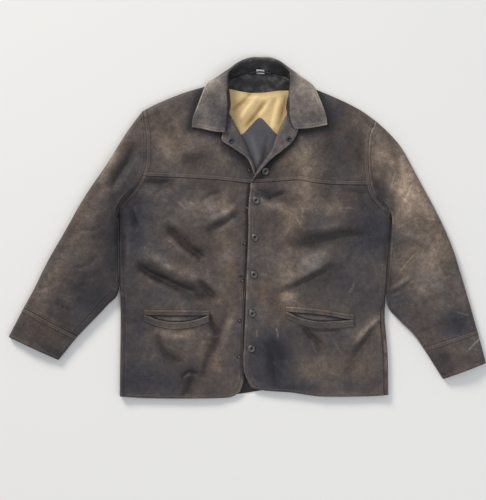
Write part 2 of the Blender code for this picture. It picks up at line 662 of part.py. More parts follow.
def collar_grid():
    """Points of the collar's upper face, from the neck seam over the roll to its outer edge."""
    # Each station: neck seam, stand, roll, leaf near the roll, leaf, outer edge.
    stations = [
        [(-48, 219, 22.5), (-49, 219, 23.4), (-52, 218.5, 24.2), (-74, 220, 22.5), (-100, 226, 19.5),
         (-126, 230, 17.5)],
        [(-44, 245, 20.0), (-44, 245, 24.5), (-49, 245, 27.0), (-72, 246, 24.5), (-97, 248, 20.5), (-124, 251, 17.5)],
        [(-42, 275, 14.5), (-41, 275, 21.0), (-46, 275, 26.5), (-68, 276, 25.0), (-90, 278, 21.0), (-113, 280, 17.5)],
        [(-41, 305, 12.0), (-41, 306, 20.0), (-47, 306, 27.0), (-67, 307, 26.0), (-86, 310, 21.5), (-102, 308, 17.5)],
        [(-41, 333, 10.6), (-42, 338, 18.0), (-45, 344, 27.5), (-63, 342, 25.0), (-81, 336, 16.8), (-88, 333, 7.5)],
        [(-29, 344.6, 3.0), (-33, 353, 13.0), (-36, 361, 23.0), (-45, 361, 19.0), (-57, 353, 9.0), (-52, 346, 1.5)],
        [(-5, 349.8, 1.8), (-8, 364, 11.0), (-9, 376, 18.5), (-8, 384.5, 14.0), (-8, 384.5, 5.0), (-6, 361, 0.0)],
        [(31, 351.7, 1.8), (31, 368, 10.5), (31, 381, 18.0), (31, 389.5, 13.5), (31, 389.5, 4.5), (31, 362, 0.0)],
        [(67, 349.8, 1.8), (68, 364, 11.0), (68, 376, 18.5), (68, 385.5, 14.0), (68, 385.5, 5.0), (67, 361, 0.0)],
        [(91, 344.6, 3.0), (92, 353, 13.0), (94, 361, 23.0), (103, 361, 19.0), (115, 353, 9.0), (112, 345, 1.5)],
        [(103, 333, 10.6), (98, 338, 18.0), (99, 344, 27.5), (118, 342, 25.0), (137, 336, 16.5), (147, 331, 6.5)],
        [(104, 305, 12.0), (96, 306, 20.0), (99, 306, 27.0), (122, 307, 26.0), (146, 310, 21.5), (162, 307, 17.5)],
        [(105, 275, 14.5), (96, 275, 21.0), (99, 275, 26.5), (127, 276, 25.0), (154, 278, 21.0), (175, 276, 17.5)],
        [(105, 245, 20.0), (98, 245, 24.5), (101, 245, 27.0), (130, 246, 24.5), (158, 248, 20.5), (183, 250, 17.5)],
        [(106, 226, 22.5), (107, 226, 23.4), (110, 226, 24.2), (134, 227, 22.5), (160, 231, 19.5), (184, 236, 17.5)],
    ]
    stations = np.array(stations, float)
    along = np.linspace(0, len(stations) - 1, 25)
    lengthwise = smooth_curve(stations.reshape(len(stations), -1), along).reshape(len(along), 6, 3)
    across = np.linspace(0, 5, 11)
    return np.array([smooth_curve(row, across) for row in lengthwise])


def flat_piece(name, bottom, top, height, thickness, material, rows=2):
    """A cloth piece that lies on the back, between two lines of as many points, its face up at a height."""
    v = np.linspace(0, 1, rows + 1)[:, None, None]
    xy = np.array(bottom, float) * (1 - v) + np.array(top, float) * v
    grid = np.dstack([xy, np.full(xy.shape[:2], height + thickness)])
    return shell(name, grid, inward_of(grid, BELOW), thickness, material)


class Surface:
    """The faces of a grid of points, as the solid has them, to lay a smaller piece on."""

    def __init__(self, grid):
        rows, columns = grid.shape[:2]
        index = np.arange(rows * columns).reshape(rows, columns)
        self.tree = BVHTree.FromPolygons(grid.reshape(-1, 3).tolist(), triangles(index).tolist())

    def at(self, x, y):
        """The point straight below or above a place, and the way out of the surface there."""
        place, normal, _, _ = self.tree.ray_cast((x, y, 500), (0, 0, -1))
        if place is None:
            place, normal, _, _ = self.tree.find_nearest((x, y, 12))
        normal = np.array(normal) * (1 if normal.z > 0 else -1)
        return np.array(place), normal

    def laid(self, xy, lift):
        """Points over places on the surface, lifted off it."""
        return np.array([[self.at(*p)[0] + [0, 0, lift] for p in row] for row in xy])


def button(name, centre, normal, profile, material):
    """A turned metal fastener: its half profile, radius and height, spun about its axis."""
    body = bmesh.new()
    axis = [body.verts.new((r * MM, 0, z * MM)) for r, z in profile]
    edges = [body.edges.new(pair) for pair in zip(axis, axis[1:])]
    bmesh.ops.spin(body, geom=axis + edges, cent=(0, 0, 0), axis=(0, 0, 1), angle=2 * math.pi, steps=12)
    bmesh.ops.remove_doubles(body, verts=body.verts, dist=1e-6)
    bmesh.ops.recalc_face_normals(body, faces=body.faces)
    mesh = bpy.data.meshes.new(name)
    body.to_mesh(mesh)
    body.free()
    mesh.materials.append(material)
    mesh.shade_smooth()
    piece = bpy.data.objects.new(name, mesh)
    bpy.context.scene.collection.objects.link(piece)
    piece.location = ((centre - CENTRE) * MM).tolist()
    up = np.array([0.0, 0.0, 1.0])
    turn = np.cross(up, normal)
    angle = math.acos(float(np.clip(np.dot(up, normal), -1, 1)))
    if np.linalg.norm(turn) > 1e-6:
        piece.rotation_mode = "AXIS_ANGLE"
        piece.rotation_axis_angle = (angle, *(turn / np.linalg.norm(turn)))
    return piece


CAP_PROFILE = [(0, 0), (CAP_RADIUS - 1, 0), (CAP_RADIUS, 0.9), (CAP_RADIUS - 1, 2.5), (5.6, 2.9), (4.0, 2.1), (0, 1.8)]
STUD_PROFILE = [(0, 0), (STUD_RADIUS, 0), (4.4, 0.8), (2.8, 1.9), (0, 2.1)]
RING_PROFILE = [(0, 0), (RING_RADIUS, 0), (5.4, 1.1), (3.4, 1.1), (2.4, 0.4), (0, 0.4)]


# The highest snap of each side is seen on its turned-out lapel, from inside.
LAPEL_SNAPS = [
    ("snap_cap_1", "left", (96, 203)),
    ("snap_stud_1", "right", (-36, 199)),
]


def fastener(name, surface, place, profile, metal):
    """A fastener on a surface, tilted with it and clear of it all round."""
    reach = profile[1][0]
    turns = np.linspace(0, 2 * math.pi, 13)[:-1]
    hits = [surface.at(place[0] + reach * math.cos(t), place[1] + reach * math.sin(t)) for t in turns]
    points = np.array([p for p, _ in hits])
    normal = np.mean([n for _, n in hits], axis=0)
    normal /= np.linalg.norm(normal)
    base = surface.at(*place)[0]
    above = max(0.0, float(np.max((points - base) @ normal)))
    return button(name, base + normal * (above + SEAM), normal, profile, metal)


def pocket(side, surface, materials):
    """The two welts along one mouth, and the bag that shows behind it."""
    upper, lower = (Line(lip) for lip in POCKET_MOUTHS[side])
    u = np.linspace(0, 1, 2 * MOUTH_CELLS + 1)
    for name, lip, way in (("upper", upper, 1), ("lower", lower, -1)):
        rows = []
        for step in np.linspace(0, 1, 3):
            opened = (1 - (2 * u - 1) ** 8)[:, None]
            out = WELT_DEPTH * step - WELT_REACH * (1 - step) * opened
            out = np.maximum(out, SEAM / 2 - WELT_REACH * opened)
            band = lip(u) + np.hstack([0 * out, way * out])
            rows.append(surface.laid([band], WELT_LIFT + 0.8 * math.sin(math.pi * step))[0])
        grid = np.array(rows)
        shell(f"pocket_{side}_{name}_welt", grid, inward_of(grid, BELOW), LEATHER, materials["leather"])
    rows = []
    for step in np.linspace(0, 1, 3):
        band = (upper(u) + [0, BAG_ABOVE]) * (1 - step) + (lower(u) - [0, BAG_BELOW]) * step
        rows.append(surface.laid([band], -LEATHER - 1.0)[0])
    grid = np.array(rows)
    shell(f"pocket_{side}_bag", grid, inward_of(grid, BELOW), LINING, materials["bag"])


def label_and_loop(collar, materials):
    """The hanger loop sewn over the neck seam and the bare label beside it, both lying on the collar's stand."""
    stand = Surface(collar)
    turn = np.linspace(0, 1, 9)
    x = 31 + 50 * (turn - 0.5)
    y = 355 + 3 * np.sin(math.pi * turn)
    middle = stand.laid([np.column_stack([x, y])], 0.0)[0]
    bow = middle + np.outer(1.7 + 2.6 * np.sin(math.pi * turn), [0, 0, 1])
    loop = np.stack([bow - [0, 2, 0.8], bow + [0, 2, 0.8]], 1)
    shell("hanger_loop", loop, inward_of(loop, BELOW), 1.2, materials["facing"])
    tag = np.array([[(tag_x, tag_y) for tag_x in (22.5, 31, 39.5)] for tag_y in (359.5, 363, 366.5)])
    tag = stand.laid(tag, SEAM + 1.0)
    shell("label", tag, inward_of(tag, BELOW), 1.0, materials["label"])


def linings(materials):
    """What shows inside the neck, lying on the back: two linings with a pointed seam, and the neck facing."""
    on_back = LEATHER + SEAM
    seam_x = np.array([-78, -46, -13, 8, 30, 51, 72, 104, 136])
    seam_y = np.array([214, 214, 214, 234, 253, 234, 214, 214, 214])
    low_y = np.array([323, 320, 314, 311, 311, 313, 316, 317, 322])
    low_x = np.array([-58, -41, -13, 8, 30, 51, 72, 95, 116])
    hem = np.column_stack([seam_x, np.full(9, 96)])
    seam = np.column_stack([seam_x, seam_y])
    low = np.column_stack([low_x, low_y])
    neck = np.array([(-37, 335.5), (-22, 342.5), (-5, 347), (13, 349.3), (31, 350), (50, 349.3), (68, 347),
                     (85, 342.5), (99, 335.5)])
    gap = np.array([0, SEAM / 2])
    flat_piece("lining_body", hem, seam - gap, on_back, LINING, materials["grey"], rows=3)
    flat_piece("lining_yoke", seam + gap, low - gap, on_back, LINING, materials["tan"], rows=3)
    flat_piece("neck_facing", low + gap, neck, on_back, FACING, materials["facing"], rows=1)


def one_side(side, front, materials):
    """The leather pieces of one side. It returns the surfaces that its snaps lie on."""
    hide = materials["leather"]
    body, body_in = front.grid("body")
    yoke, yoke_in = front.grid("yoke")
    pocket(side, Surface(body), materials)
    shell(f"{side}_front", body, body_in, LEATHER, hide, kept=front.mouth_mask(*body.shape[:2]))
    shell(f"{side}_yoke", yoke, yoke_in, LEATHER, hide)
    facing, facing_in = facing_grid(body, yoke, body_in, yoke_in)
    shell(f"{side}_facing", facing, facing_in, FACING, hide)
    sleeve = Sleeve(front)
    rows = np.linspace(0, Sleeve.SEAM_STATION - 0.006, Sleeve.ROWS + 1)
    for part in ("top", "under"):
        shell(f"{side}_{part}_sleeve", *sleeve.ring(rows, part), LEATHER, hide)
    rows = np.linspace(Sleeve.SEAM_STATION, Sleeve.SEAM_STATION + 1, 4)
    shell(f"{side}_cuff", *sleeve.ring(rows, "cuff"), LEATHER, hide, closed=True)
    flat_yoke = yoke[:UPPER_ARM_ROWS, : -Front.CURL_CELLS - Front.OVER_CELLS]
    return {"body": Surface(body), "yoke": Surface(flat_yoke), "lapel": Surface(facing + facing_in * FACING)}


def all_materials():
    return {
        "leather": leather("oiled nubuck", (0.115, 0.093, 0.083)),
        "facing": leather("neck leather", (0.045, 0.043, 0.047), 0.55),
        "bag": leather("pocket leather", (0.10, 0.09, 0.085)),
        "tan": leather("cotton yoke lining", (0.62, 0.44, 0.22), 0.85),
        "grey": leather("wool lining", (0.055, 0.055, 0.065), 0.9),
        "label": leather("label satin", (0.75, 0.75, 0.72), 0.5),
        "metal": leather("aged snap metal", (0.20, 0.20, 0.20), 0.35, 1.0),
    }


def build():
    for old in list(bpy.data.objects):
        bpy.data.objects.remove(old, do_unlink=True)
    materials = all_materials()
    fronts = {side: Front(side) for side in SIDES}
    surfaces = {side: one_side(side, front, materials) for side, front in fronts.items()}
    shell("back", *back_grid(fronts), LEATHER, materials["leather"])
    collar = collar_grid()
    shell("collar", collar, inward_of(collar, BELOW), COLLAR_THICK, materials["leather"])
    linings(materials)
    label_and_loop(collar, materials)
    metal = materials["metal"]
    for side, kind, places, profile in (
        ("left", "cap", SNAP_CAPS, CAP_PROFILE),
        ("right", "stud", SNAP_STUDS, STUD_PROFILE),
    ):
        for number, place in enumerate(places, 2):
            panel = surfaces[side]["yoke" if number == 2 else "body"]
            fastener(f"snap_{kind}_{number}", panel, place, profile, metal)
    for name, side, place in LAPEL_SNAPS:
        fastener(name, surfaces[side]["lapel"], place, RING_PROFILE, metal)


build()
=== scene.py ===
# %% [markdown]
# # A worn leather coat, dressed
# The coat lies flat on its back on a pale floor, and the camera looks straight down on it.
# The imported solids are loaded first. Each is replaced by a finer piece that is worked out from
# the same outlines, with soft creases, lapped seams, topstitching and a worn hide. Lengths are
# in millimetres until a mesh is made.

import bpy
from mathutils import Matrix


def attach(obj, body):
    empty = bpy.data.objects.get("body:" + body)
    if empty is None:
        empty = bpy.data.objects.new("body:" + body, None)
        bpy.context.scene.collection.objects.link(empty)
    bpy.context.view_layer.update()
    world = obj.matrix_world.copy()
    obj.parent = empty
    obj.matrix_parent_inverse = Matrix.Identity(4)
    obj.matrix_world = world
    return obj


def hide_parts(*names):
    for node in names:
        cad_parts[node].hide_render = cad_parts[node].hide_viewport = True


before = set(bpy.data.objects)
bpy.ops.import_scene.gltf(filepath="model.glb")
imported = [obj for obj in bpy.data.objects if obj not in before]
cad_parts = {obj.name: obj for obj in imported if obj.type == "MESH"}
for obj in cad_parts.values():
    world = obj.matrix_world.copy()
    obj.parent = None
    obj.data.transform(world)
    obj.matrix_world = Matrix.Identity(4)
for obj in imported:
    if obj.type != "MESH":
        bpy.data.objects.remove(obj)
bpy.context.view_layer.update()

# %% Tools
import math

import bpy
import numpy as np
from mathutils import Vector
from mathutils.bvhtree import BVHTree

# %% [markdown]
# ## Sizes and outlines
# A coat maker starts from a cut: the outline of each piece. Laid flat, the cut shows as it is,
# so the outlines are lines across the floor, with +X to the wearer's left and +Y to the collar.
# The heights say how the layers lie on each other, the right front edge under the left one.

# %% Driving sizes
MM = 0.001

# Driving dimensions of the coat.
BODY_LENGTH = 783.0
LEATHER = 1.5
FACING = 1.2
LINING = 1.0
COLLAR_THICK = 2.4
SEAM = 0.4
FACING_GAP = 0.55
EDGE_RADIUS = 7.0
LOFT = 2 * EDGE_RADIUS

# Heights of the front edges, the right front lying under the left one.
UNDER_EDGE_HEIGHT = 8.5
OVER_EDGE_HEIGHT = 15.2
NECK_HEIGHT = 9.5

# How the lapels turn back at the neck: the leather curls up, over and out, its facing on top.
CURL_RADIUS = 3.0
LAPEL_STACK = LEATHER + FACING_GAP + FACING
STRIP = 45.0
LAPEL_REST = 0.8
NECK_X = 31.0
NECK_HALF = 64.0

# Rows shared by the pieces that meet, so that their edges run point to point.
SIDE_ROWS = 20
LOWER_ARM_ROWS = 4
UPPER_ARM_ROWS = 8

HEM = -BODY_LENGTH / 2

# Pocket mouths, each as its upper and its lower lip, and the welts along them.
POCKET_MOUTHS = {
    "right": (
        [(-236, -199), (-161, -200), (-86, -200)],
        [(-236, -199), (-200, -212), (-161, -217), (-121, -212), (-86, -200)],
    ),
    "left": (
        [(89, -191), (168, -198), (246, -211)],
        [(89, -191), (124, -207), (164, -215), (207, -214), (246, -211)],
    ),
}
MOUTH_END = 1.2
MOUTH_CELLS = 5
MOUTH_ROW = 8
MOUTH_COLUMN = 2
WELT_DEPTH = 11.0
LOWER_WELT_DEPTH = 15.0
BAG_ABOVE = 12.0
BAG_BELOW = 16.0
WELT_REACH = 0.8
WELT_LIFT = LEATHER + 2 * SEAM

# %% Snaps and the frame's middle
# Snap fasteners, from the neck down: caps on the left edge, studs on the right one.
SNAP_CAPS = [(42, 130), (21, 63), (18, -22), (16, -107), (12, -196), (10, -277)]
SNAP_STUDS = [(5, 132), (1, 45), (-5, -37), (-10, -122), (-17, -213), (-18, -296)]

BELOW = np.array([0.0, 0.0, -1e4])

# The middle of the finished coat in the frame of the outlines below. The part has its origin there.
CENTRE = np.array([0.995, 0.131, 0.0])

# %% Outlines of the pieces
# Outlines, each read from the cut of one side: "right" is the wearer's right.
SIDES = {
    "right": {
        "hem": [(-292, HEM + 5), (-233, HEM + 1), (-145, HEM), (-66, HEM + 1), (-34, HEM + 4),
                (-16, HEM + 16)],
        "front": [(-16, HEM + 16), (-6, -344), (-4, -296), (-2, -211), (5, -121), (11, -36), (16, 47),
                  (20, 102)],
        "side": [(-292, HEM + 5), (-291, -303), (-290, -222), (-291, -147), (-294, -50), (-295, 37)],
        "armhole": [(-295, 37), (-287, 56), (-259, 88), (-240, 119), (-231, 154), (-231, 210), (-239, 268)],
        "yoke": [(-240, 119), (-150, 115), (-66, 110), (-11, 104), (20, 102)],
        "shoulder": [(-239, 268), (-206, 285), (-150, 308), (-94, 325), (-43, 338)],
        "roll": [(20, 102), (19, 139), (9, 160), (-2, 188), (-13, 211), (-29, 243), (-40, 272), (-44, 305),
                 (-43, 338)],
        "turned": [(112, 0), (133, 9.5), (152, 9.5), (165, 14.5), (179, 27.5), (186, 39.5), (198, 53.5),
                   (214, 44),
                   (232, 42), (268, 0)],
        "under": [(None, 37), (None, 0), (None, -45), (None, -95), (None, -146), (-322, -180), (-358, -218),
                  (-388, -249), (-432, -303)],
        "outer": [(-239, 268), (-278, 216), (-323, 143), (-373, 71), (-417, -7), (-456, -74), (-488, -139),
                  (-512, -183), (-547, -250)],
    },
    "left": {
        "hem": [(325, HEM + 8), (269, HEM + 5), (169, HEM + 5), (103, HEM + 14), (44, HEM + 18),
                (11, HEM + 24)],
        "front": [(11, HEM + 24), (-5, -336), (-8, -303), (-4, -211), (-1, -119), (3, -27), (4, 54),
                  (10, 104)],
        "side": [(325, HEM + 8), (324, -307), (321, -255), (317, -215), (317, -184), (322, -110), (329, -24),
                 (331, 35)],
        "armhole": [(331, 35), (314, 49), (295, 71), (284, 98), (278, 155), (281, 210), (295, 246)],
        "yoke": [(284, 98), (214, 99), (158, 103), (119, 110), (75, 107), (24, 104), (10, 104)],
        "shoulder": [(295, 246), (259, 271), (214, 294), (153, 320), (106, 338)],
        "roll": [(10, 104), (19, 125), (35, 146), (56, 180), (70, 215), (82, 244), (92, 272),
                 (101, 305), (106, 338)],
        "turned": [(108, 0), (132, 10), (152, 13.5), (171, 20.5), (186, 36.5), (205, 45.5), (215, 46.5),
                   (232, 43),
                   (268, 0)],
        "under": [(None, 35), (None, 0), (None, -50), (None, -100), (None, -172), (350, -213), (378, -240),
                  (404, -275), (450, -347)],
        "outer": [(295, 246), (348, 193), (392, 115), (437, 32), (470, -41), (488, -96), (509, -166),
                  (528, -233),
                  (549, -310)],
    },
}

# %% Largest folds
# The largest folds: a name, the line it follows, its half width and its height, a trough if negative.
FOLDS = {
    "right": [
        ("drag from the side seam", [(-258, -79), (-184, -124), (-143, -141), (-72, -163)], 17, -6.5),
        ("roll above that drag", [(-250, -50), (-160, -98), (-80, -132)], 16, 3.0),
        ("drag below the chest", [(-186, 3), (-120, -52), (-94, -74)], 15, -4.5),
        ("pull to the third snap", [(-92, -16), (-46, 26)], 14, -4.0),
        ("slack under the yoke", [(-104, 100), (-58, 68)], 13, -2.5),
        ("hollow below the yoke", [(-205, 104), (-160, 96)], 15, -3.0),
        ("armhole pucker", [(-262, 40), (-246, -6)], 12, -2.5),
        ("fold from the pocket", [(-88, -196), (-72, -240), (-104, -345)], 12, -4.0),
        ("hem wave", [(-124, -320), (-146, -392)], 14, -3.0),
    ],
    "left": [
        ("slack under the yoke", [(64, 68), (103, 60), (130, 66)], 13, -4.0),
        ("chest hollow", [(85, -2), (175, -29), (250, -12)], 26, -4.5),
        ("drag to the chest", [(69, -152), (197, -52)], 17, 3.5),
        ("hollow under that drag", [(118, -166), (230, -84)], 20, -3.5),
        ("pull at the side seam", [(304, -198), (271, -245), (242, -266)], 13, 3.0),
        ("fold below the pocket", [(128, -235), (176, -284)], 13, -3.0),
        ("hem drop", [(62, -246), (62, -366)], 14, -3.0),
    ],
}

# %% [markdown]
# ## Lines and patches
# A seam is one smooth line that two pieces share. A piece is the smooth area between four such
# lines, which is a Coons patch: blend the bottom with the top, blend the two sides, and take
# away the blend of the corners. A mesh modeller would draw it by hand; a formula lets every
# row of points follow the same seam at any fineness.

# %% Smooth lines
def smooth_curve(points, at):
    """Points at the given knot numbers on a smooth curve through all the points."""
    points = np.asarray(points, float)
    at = np.clip(np.asarray(at, float), 0, len(points) - 1)
    padded = np.vstack([2 * points[0] - points[1], points, 2 * points[-1] - points[-2]])
    k = np.minimum(at.astype(int), len(points) - 2)
    t = (at - k)[:, None]
    p0, p1, p2, p3 = padded[k], padded[k + 1], padded[k + 2], padded[k + 3]
    square, cube = 2 * p0 - 5 * p1 + 4 * p2 - p3, 3 * p1 - p0 - 3 * p2 + p3
    return 0.5 * (2 * p1 + (p2 - p0) * t + square * t**2 + cube * t**3)


class Line:
    """A smooth line through points, read by the share of its length."""

    def __init__(self, points):
        self.dense = smooth_curve(points, np.linspace(0, len(points) - 1, 40 * (len(points) - 1) + 1))
        steps = np.linalg.norm(np.diff(self.dense, axis=0), axis=1)
        self.along = np.concatenate([[0], np.cumsum(steps)])
        self.length = self.along[-1]

    def __call__(self, share):
        share = np.asarray(share, float) * self.length
        return np.stack([np.interp(share, self.along, axis) for axis in self.dense.T], axis=-1)

    def x_at(self, y):
        order = np.argsort(self.dense[:, 1])
        return np.interp(y, self.dense[order, 1], self.dense[order, 0])

    def share_at(self, y):
        return float(np.interp(y, self.dense[:, 1], self.along)) / self.length

# %% Rows and patches
class Rows:
    """Straight steps between points, read by the share of their number: the edge of a grid."""

    def __init__(self, points, shares=None):
        self.points = np.asarray(points, float)
        self.shares = np.linspace(0, 1, len(self.points)) if shares is None else shares

    def __call__(self, share):
        return np.stack([np.interp(share, self.shares, axis) for axis in self.points.T], axis=-1)


def patch(bottom, top, start, end, u, v):
    """Coons patch: the smooth area between four lines, at u from start to end and v from bottom to top."""
    b, t = bottom(u), top(u)
    s, e = start(v), end(v)
    u, v = u[..., None], v[..., None]
    corners = (
        (1 - u) * (1 - v) * bottom(np.zeros(1))
        + u * (1 - v) * bottom(np.ones(1))
        + (1 - u) * v * top(np.zeros(1))
        + u * v * top(np.ones(1))
    )
    return (1 - v) * b + v * t + (1 - u) * s + u * e - corners


def ease(x):
    """0 below 0, 1 above 1, smooth between."""
    x = np.clip(x, 0, 1)
    return x * x * (3 - 2 * x)

# %% [markdown]
# ## Folds
# A crease in leather is a soft trough that fades at both ends. Its depth falls off with the
# distance from a line as a bell curve. Sculpting would do too, but here each fold has a name,
# a place, a width and a depth, so it can be corrected by its numbers.

# %% Fold heights
def fold_height(folds, xy):
    """Sum of the folds at each point: a soft trough or ridge across each line, fading at its ends."""
    total = np.zeros(xy.shape[:-1])
    for _, line, width, height in folds:
        line = np.asarray(line, float)
        steps = np.linalg.norm(np.diff(line, axis=0), axis=1)
        start = 0.0
        best = np.full(xy.shape[:-1], np.inf)
        share = np.zeros(xy.shape[:-1])
        for a, b, step in zip(line[:-1], line[1:], steps):
            t = np.clip(((xy - a) @ (b - a)) / step**2, 0, 1)
            away = np.linalg.norm(xy - (a + t[..., None] * (b - a)), axis=-1)
            share = np.where(away < best, (start + t * step) / steps.sum(), share)
            best = np.minimum(best, away)
            start += step
        total += height * np.exp(-((best / width) ** 2)) * (1 - np.abs(2 * share - 1) ** 4)
    return total

# %% [markdown]
# ## Rounded edges and walls
# Where the back turns up to the front the leather rolls over, so the edge's section is half a
# circle. Each piece is a wall: the outer face, and the same face moved in by its thickness.

# %% Edge sections
def edge_section(arc, radius):
    """Distance in from the outline and height, along a rounded edge from the floor round to the top."""
    turn = np.clip(arc / radius, 0, math.pi)
    flat = np.maximum(-arc, 0) + np.maximum(arc - math.pi * radius, 0)
    return radius - radius * np.sin(turn) + flat, radius - radius * np.cos(turn)


def step_along(grid, axis, closed=False):
    if closed:
        return np.roll(grid, -1, axis) - np.roll(grid, 1, axis)
    return np.gradient(grid, axis=axis, edge_order=min(2, grid.shape[axis] - 1))


def inward_of(grid, inside, closed=False):
    """Unit vectors from each point of a face into its wall: square to the rows and the columns."""
    normal = np.cross(step_along(grid, 1, closed), step_along(grid, 0))
    normal /= np.maximum(np.linalg.norm(normal, axis=-1, keepdims=True), 1e-9)
    return normal if np.sum(normal * (grid - inside)) < 0 else -normal


def round_inward(across, lean, wrap, flat_z):
    """Inward vectors along a rounded edge: across the piece, and flat_z where it isn't rounded."""
    side = np.sin(lean) * wrap
    up = np.cos(lean) * wrap + flat_z * (1 - wrap)
    vector = np.dstack([across[:, None] * side[..., None], up])
    return vector / np.linalg.norm(vector, axis=-1, keepdims=True)

# %% Walls
def triangles(index, kept=None):
    """Two triangles for each kept cell of a grid of point numbers, cut along the same diagonal everywhere."""
    kept = np.ones((index.shape[0] - 1, index.shape[1] - 1), bool) if kept is None else kept
    a, b, c, d = index[:-1, :-1][kept], index[:-1, 1:][kept], index[1:, 1:][kept], index[1:, :-1][kept]
    return np.concatenate([np.stack([a, b, c], -1), np.stack([a, c, d], -1)])


def rim_of(faces, points):
    """Triangles that close a wall along the edges that only one outer face uses.

    Each is cut from its upper outer point, so that the two rims along a seam are cut alike.
    """
    edges = np.concatenate([faces[:, [0, 1]], faces[:, [1, 2]], faces[:, [2, 0]]])
    _, first, count = np.unique(np.sort(edges, axis=1), axis=0, return_index=True, return_counts=True)
    a, b = edges[first[count == 1]].T
    in_a, in_b = a + len(points) // 2, b + len(points) // 2
    rising = points[b, 1] > points[a, 1]
    corner = np.where(rising, in_a, in_b)
    outer = np.where(rising, b, a)
    return np.concatenate([np.stack([b, a, corner], -1), np.stack([outer, in_a, in_b], -1)])

# %% [markdown]
# ## The fronts
# Each front runs from the hem to the shoulder. Its side is rounded, its front edge is a strip
# that turns over at the top as the lapel: up, over and out, with the facing on top. The yoke
# is the same shape function, above the yoke seam.

# %% Fronts and yokes
class Front:
    """One front of the coat, from its hem to its shoulder, as points on its outer face."""

    EDGE_CELLS = 5
    BEFORE_CURL = [-STRIP, -22.0]
    EDGE_BAND = 8.0
    CURL_CELLS = 4
    OVER_CELLS = 2
    BODY_STRIP_CELLS = 4
    ROLL_SHARES = [0, 0.124, 0.242, 0.341, 0.41, 0.48, 0.57, 0.72, 1]
    SHOULDER_ROWS = 5
    # The left edge's height at the hem, and from where over what length it rises to OVER_EDGE_HEIGHT.
    HEM_EDGE_HEIGHT, RISE_FROM, RISE_LENGTH = 12.0, -330, 260
    # From where over what length the edges come to the neck's height.
    NECK_FROM, NECK_LENGTH = 118, 60
    # Over what distance from the front edge the leather comes to the loft, and how the hem sags.
    EDGE_SLOPE = 70
    HEM_SAG, HEM_SAG_WIDTH = 3.5, 22
    # From where over what length the left side seam comes down from the top to the rounded edge, and
    # how far in from that edge it lies on the top.
    SEAM_FROM, SEAM_LENGTH, SEAM_ON_TOP = -215, 125, 5
    # From how far below the armpit over what length the rounded edge goes flat, and how far in on the
    # top its columns reach.
    WRAP_BELOW, WRAP_LENGTH, WRAP_REACH = 26, 30, 12
    # Over what length the turned lapel sinks onto the front.
    SINK_LENGTH = 34
    # Shares of the columns between the rounded side and the front strip, two of them at the mouth's ends.
    MIDDLE_SHARES = {
        "right": np.array([0, 0.08, 0.156, 0.29, 0.424, 0.558, 0.692, 0.826, 1]),
        "left": np.array([0, 0.1, 0.198, 0.32, 0.442, 0.565, 0.687, 0.809, 1]),
    }

    def __init__(self, side):
        cut = SIDES[side]
        self.side = side
        self.folds = FOLDS[side]
        self.sign = -1 if side == "right" else 1
        self.side_line = Line(cut["side"])
        self.armhole = Line(cut["armhole"])
        self.yoke = Line(cut["yoke"])
        self.shoulder = Line(cut["shoulder"])
        self.hem = Line(cut["hem"])
        self.front = Line(cut["front"])
        self.roll = Line(cut["roll"])
        self.armpit = cut["armhole"][0]
        at_yoke = self.armhole.share_at(cut["yoke"][0][1])
        low = np.linspace(0, at_yoke, LOWER_ARM_ROWS + 1)
        high = np.linspace(at_yoke, 1, UPPER_ARM_ROWS + 1)
        self.arm_shares = np.concatenate([low, high[1:]])
        self.side_points = self.side_line(np.linspace(0, 1, SIDE_ROWS + 1))
        self.arm_points = self.armhole(self.arm_shares)
        self.turned = np.array(cut["turned"], float)
        self.front_edge = np.vstack([self.side_points, self.arm_points[1:]])
        self.back_edge = np.vstack([self.side_points, self.arm_points[2::2]])

    def height(self, xy):
        """Height of the outer face away from the rounded edges."""
        x, y = xy[..., 0], xy[..., 1]
        front_x = np.where(y < self.roll.dense[0, 1], self.front.x_at(y), self.roll.x_at(y))
        from_front = np.abs(x - front_x)
        if self.side == "right":
            edge = np.full(x.shape, UNDER_EDGE_HEIGHT)
        else:
            low, rise = self.HEM_EDGE_HEIGHT, ease((y - self.RISE_FROM) / self.RISE_LENGTH)
            edge = low + (OVER_EDGE_HEIGHT - low) * rise
        edge = edge + (NECK_HEIGHT - edge) * ease((y - self.NECK_FROM) / self.NECK_LENGTH)
        z = edge + (LOFT + 1 - edge) * ease(from_front / self.EDGE_SLOPE)
        z = z - self.HEM_SAG * np.exp(-np.maximum(y - HEM, 0) / self.HEM_SAG_WIDTH)
        return np.maximum(z + fold_height(self.folds, xy), UNDER_EDGE_HEIGHT - 1)

    def seam_arc(self, y):
        """Where the side seam lies on the rounded edge: near the floor, or on top near the left hem."""
        low = 0.9 * EDGE_RADIUS
        if self.side == "right":
            return np.full(y.shape, low)
        high = math.pi * EDGE_RADIUS + self.SEAM_ON_TOP
        return high + (low - high) * ease((y - self.SEAM_FROM) / self.SEAM_LENGTH)

    def wrapped(self, y):
        """1 where the side is a rounded edge, 0 above the armpit."""
        return 1 - ease((y - self.armpit[1] + self.WRAP_BELOW) / self.WRAP_LENGTH)

    def side_columns(self, y):
        """Distances from the side, heights and turns of the columns round the rounded edge, for rows at y."""
        start = self.seam_arc(y)[:, None]
        end = math.pi * EDGE_RADIUS + self.WRAP_REACH
        arc = start + (end - start) * np.linspace(0, 1, self.EDGE_CELLS + 1)
        inset, lift = edge_section(arc, EDGE_RADIUS)
        wrap = self.wrapped(y)[:, None]
        flat = arc - start + SEAM
        lean = np.clip(arc / EDGE_RADIUS, 0, math.pi)
        return wrap * (inset + SEAM / 2) + (1 - wrap) * flat, wrap * (lift - 2 * EDGE_RADIUS), lean

    def edge_x(self, y, on_floor):
        """X of the side and the armhole. The back's edge takes every second point of the armhole."""
        back, front = self.back_edge, self.front_edge
        on_back = np.interp(y, back[:, 1], back[:, 0])
        return np.where(on_floor, on_back, np.interp(y, front[:, 1], front[:, 0]))

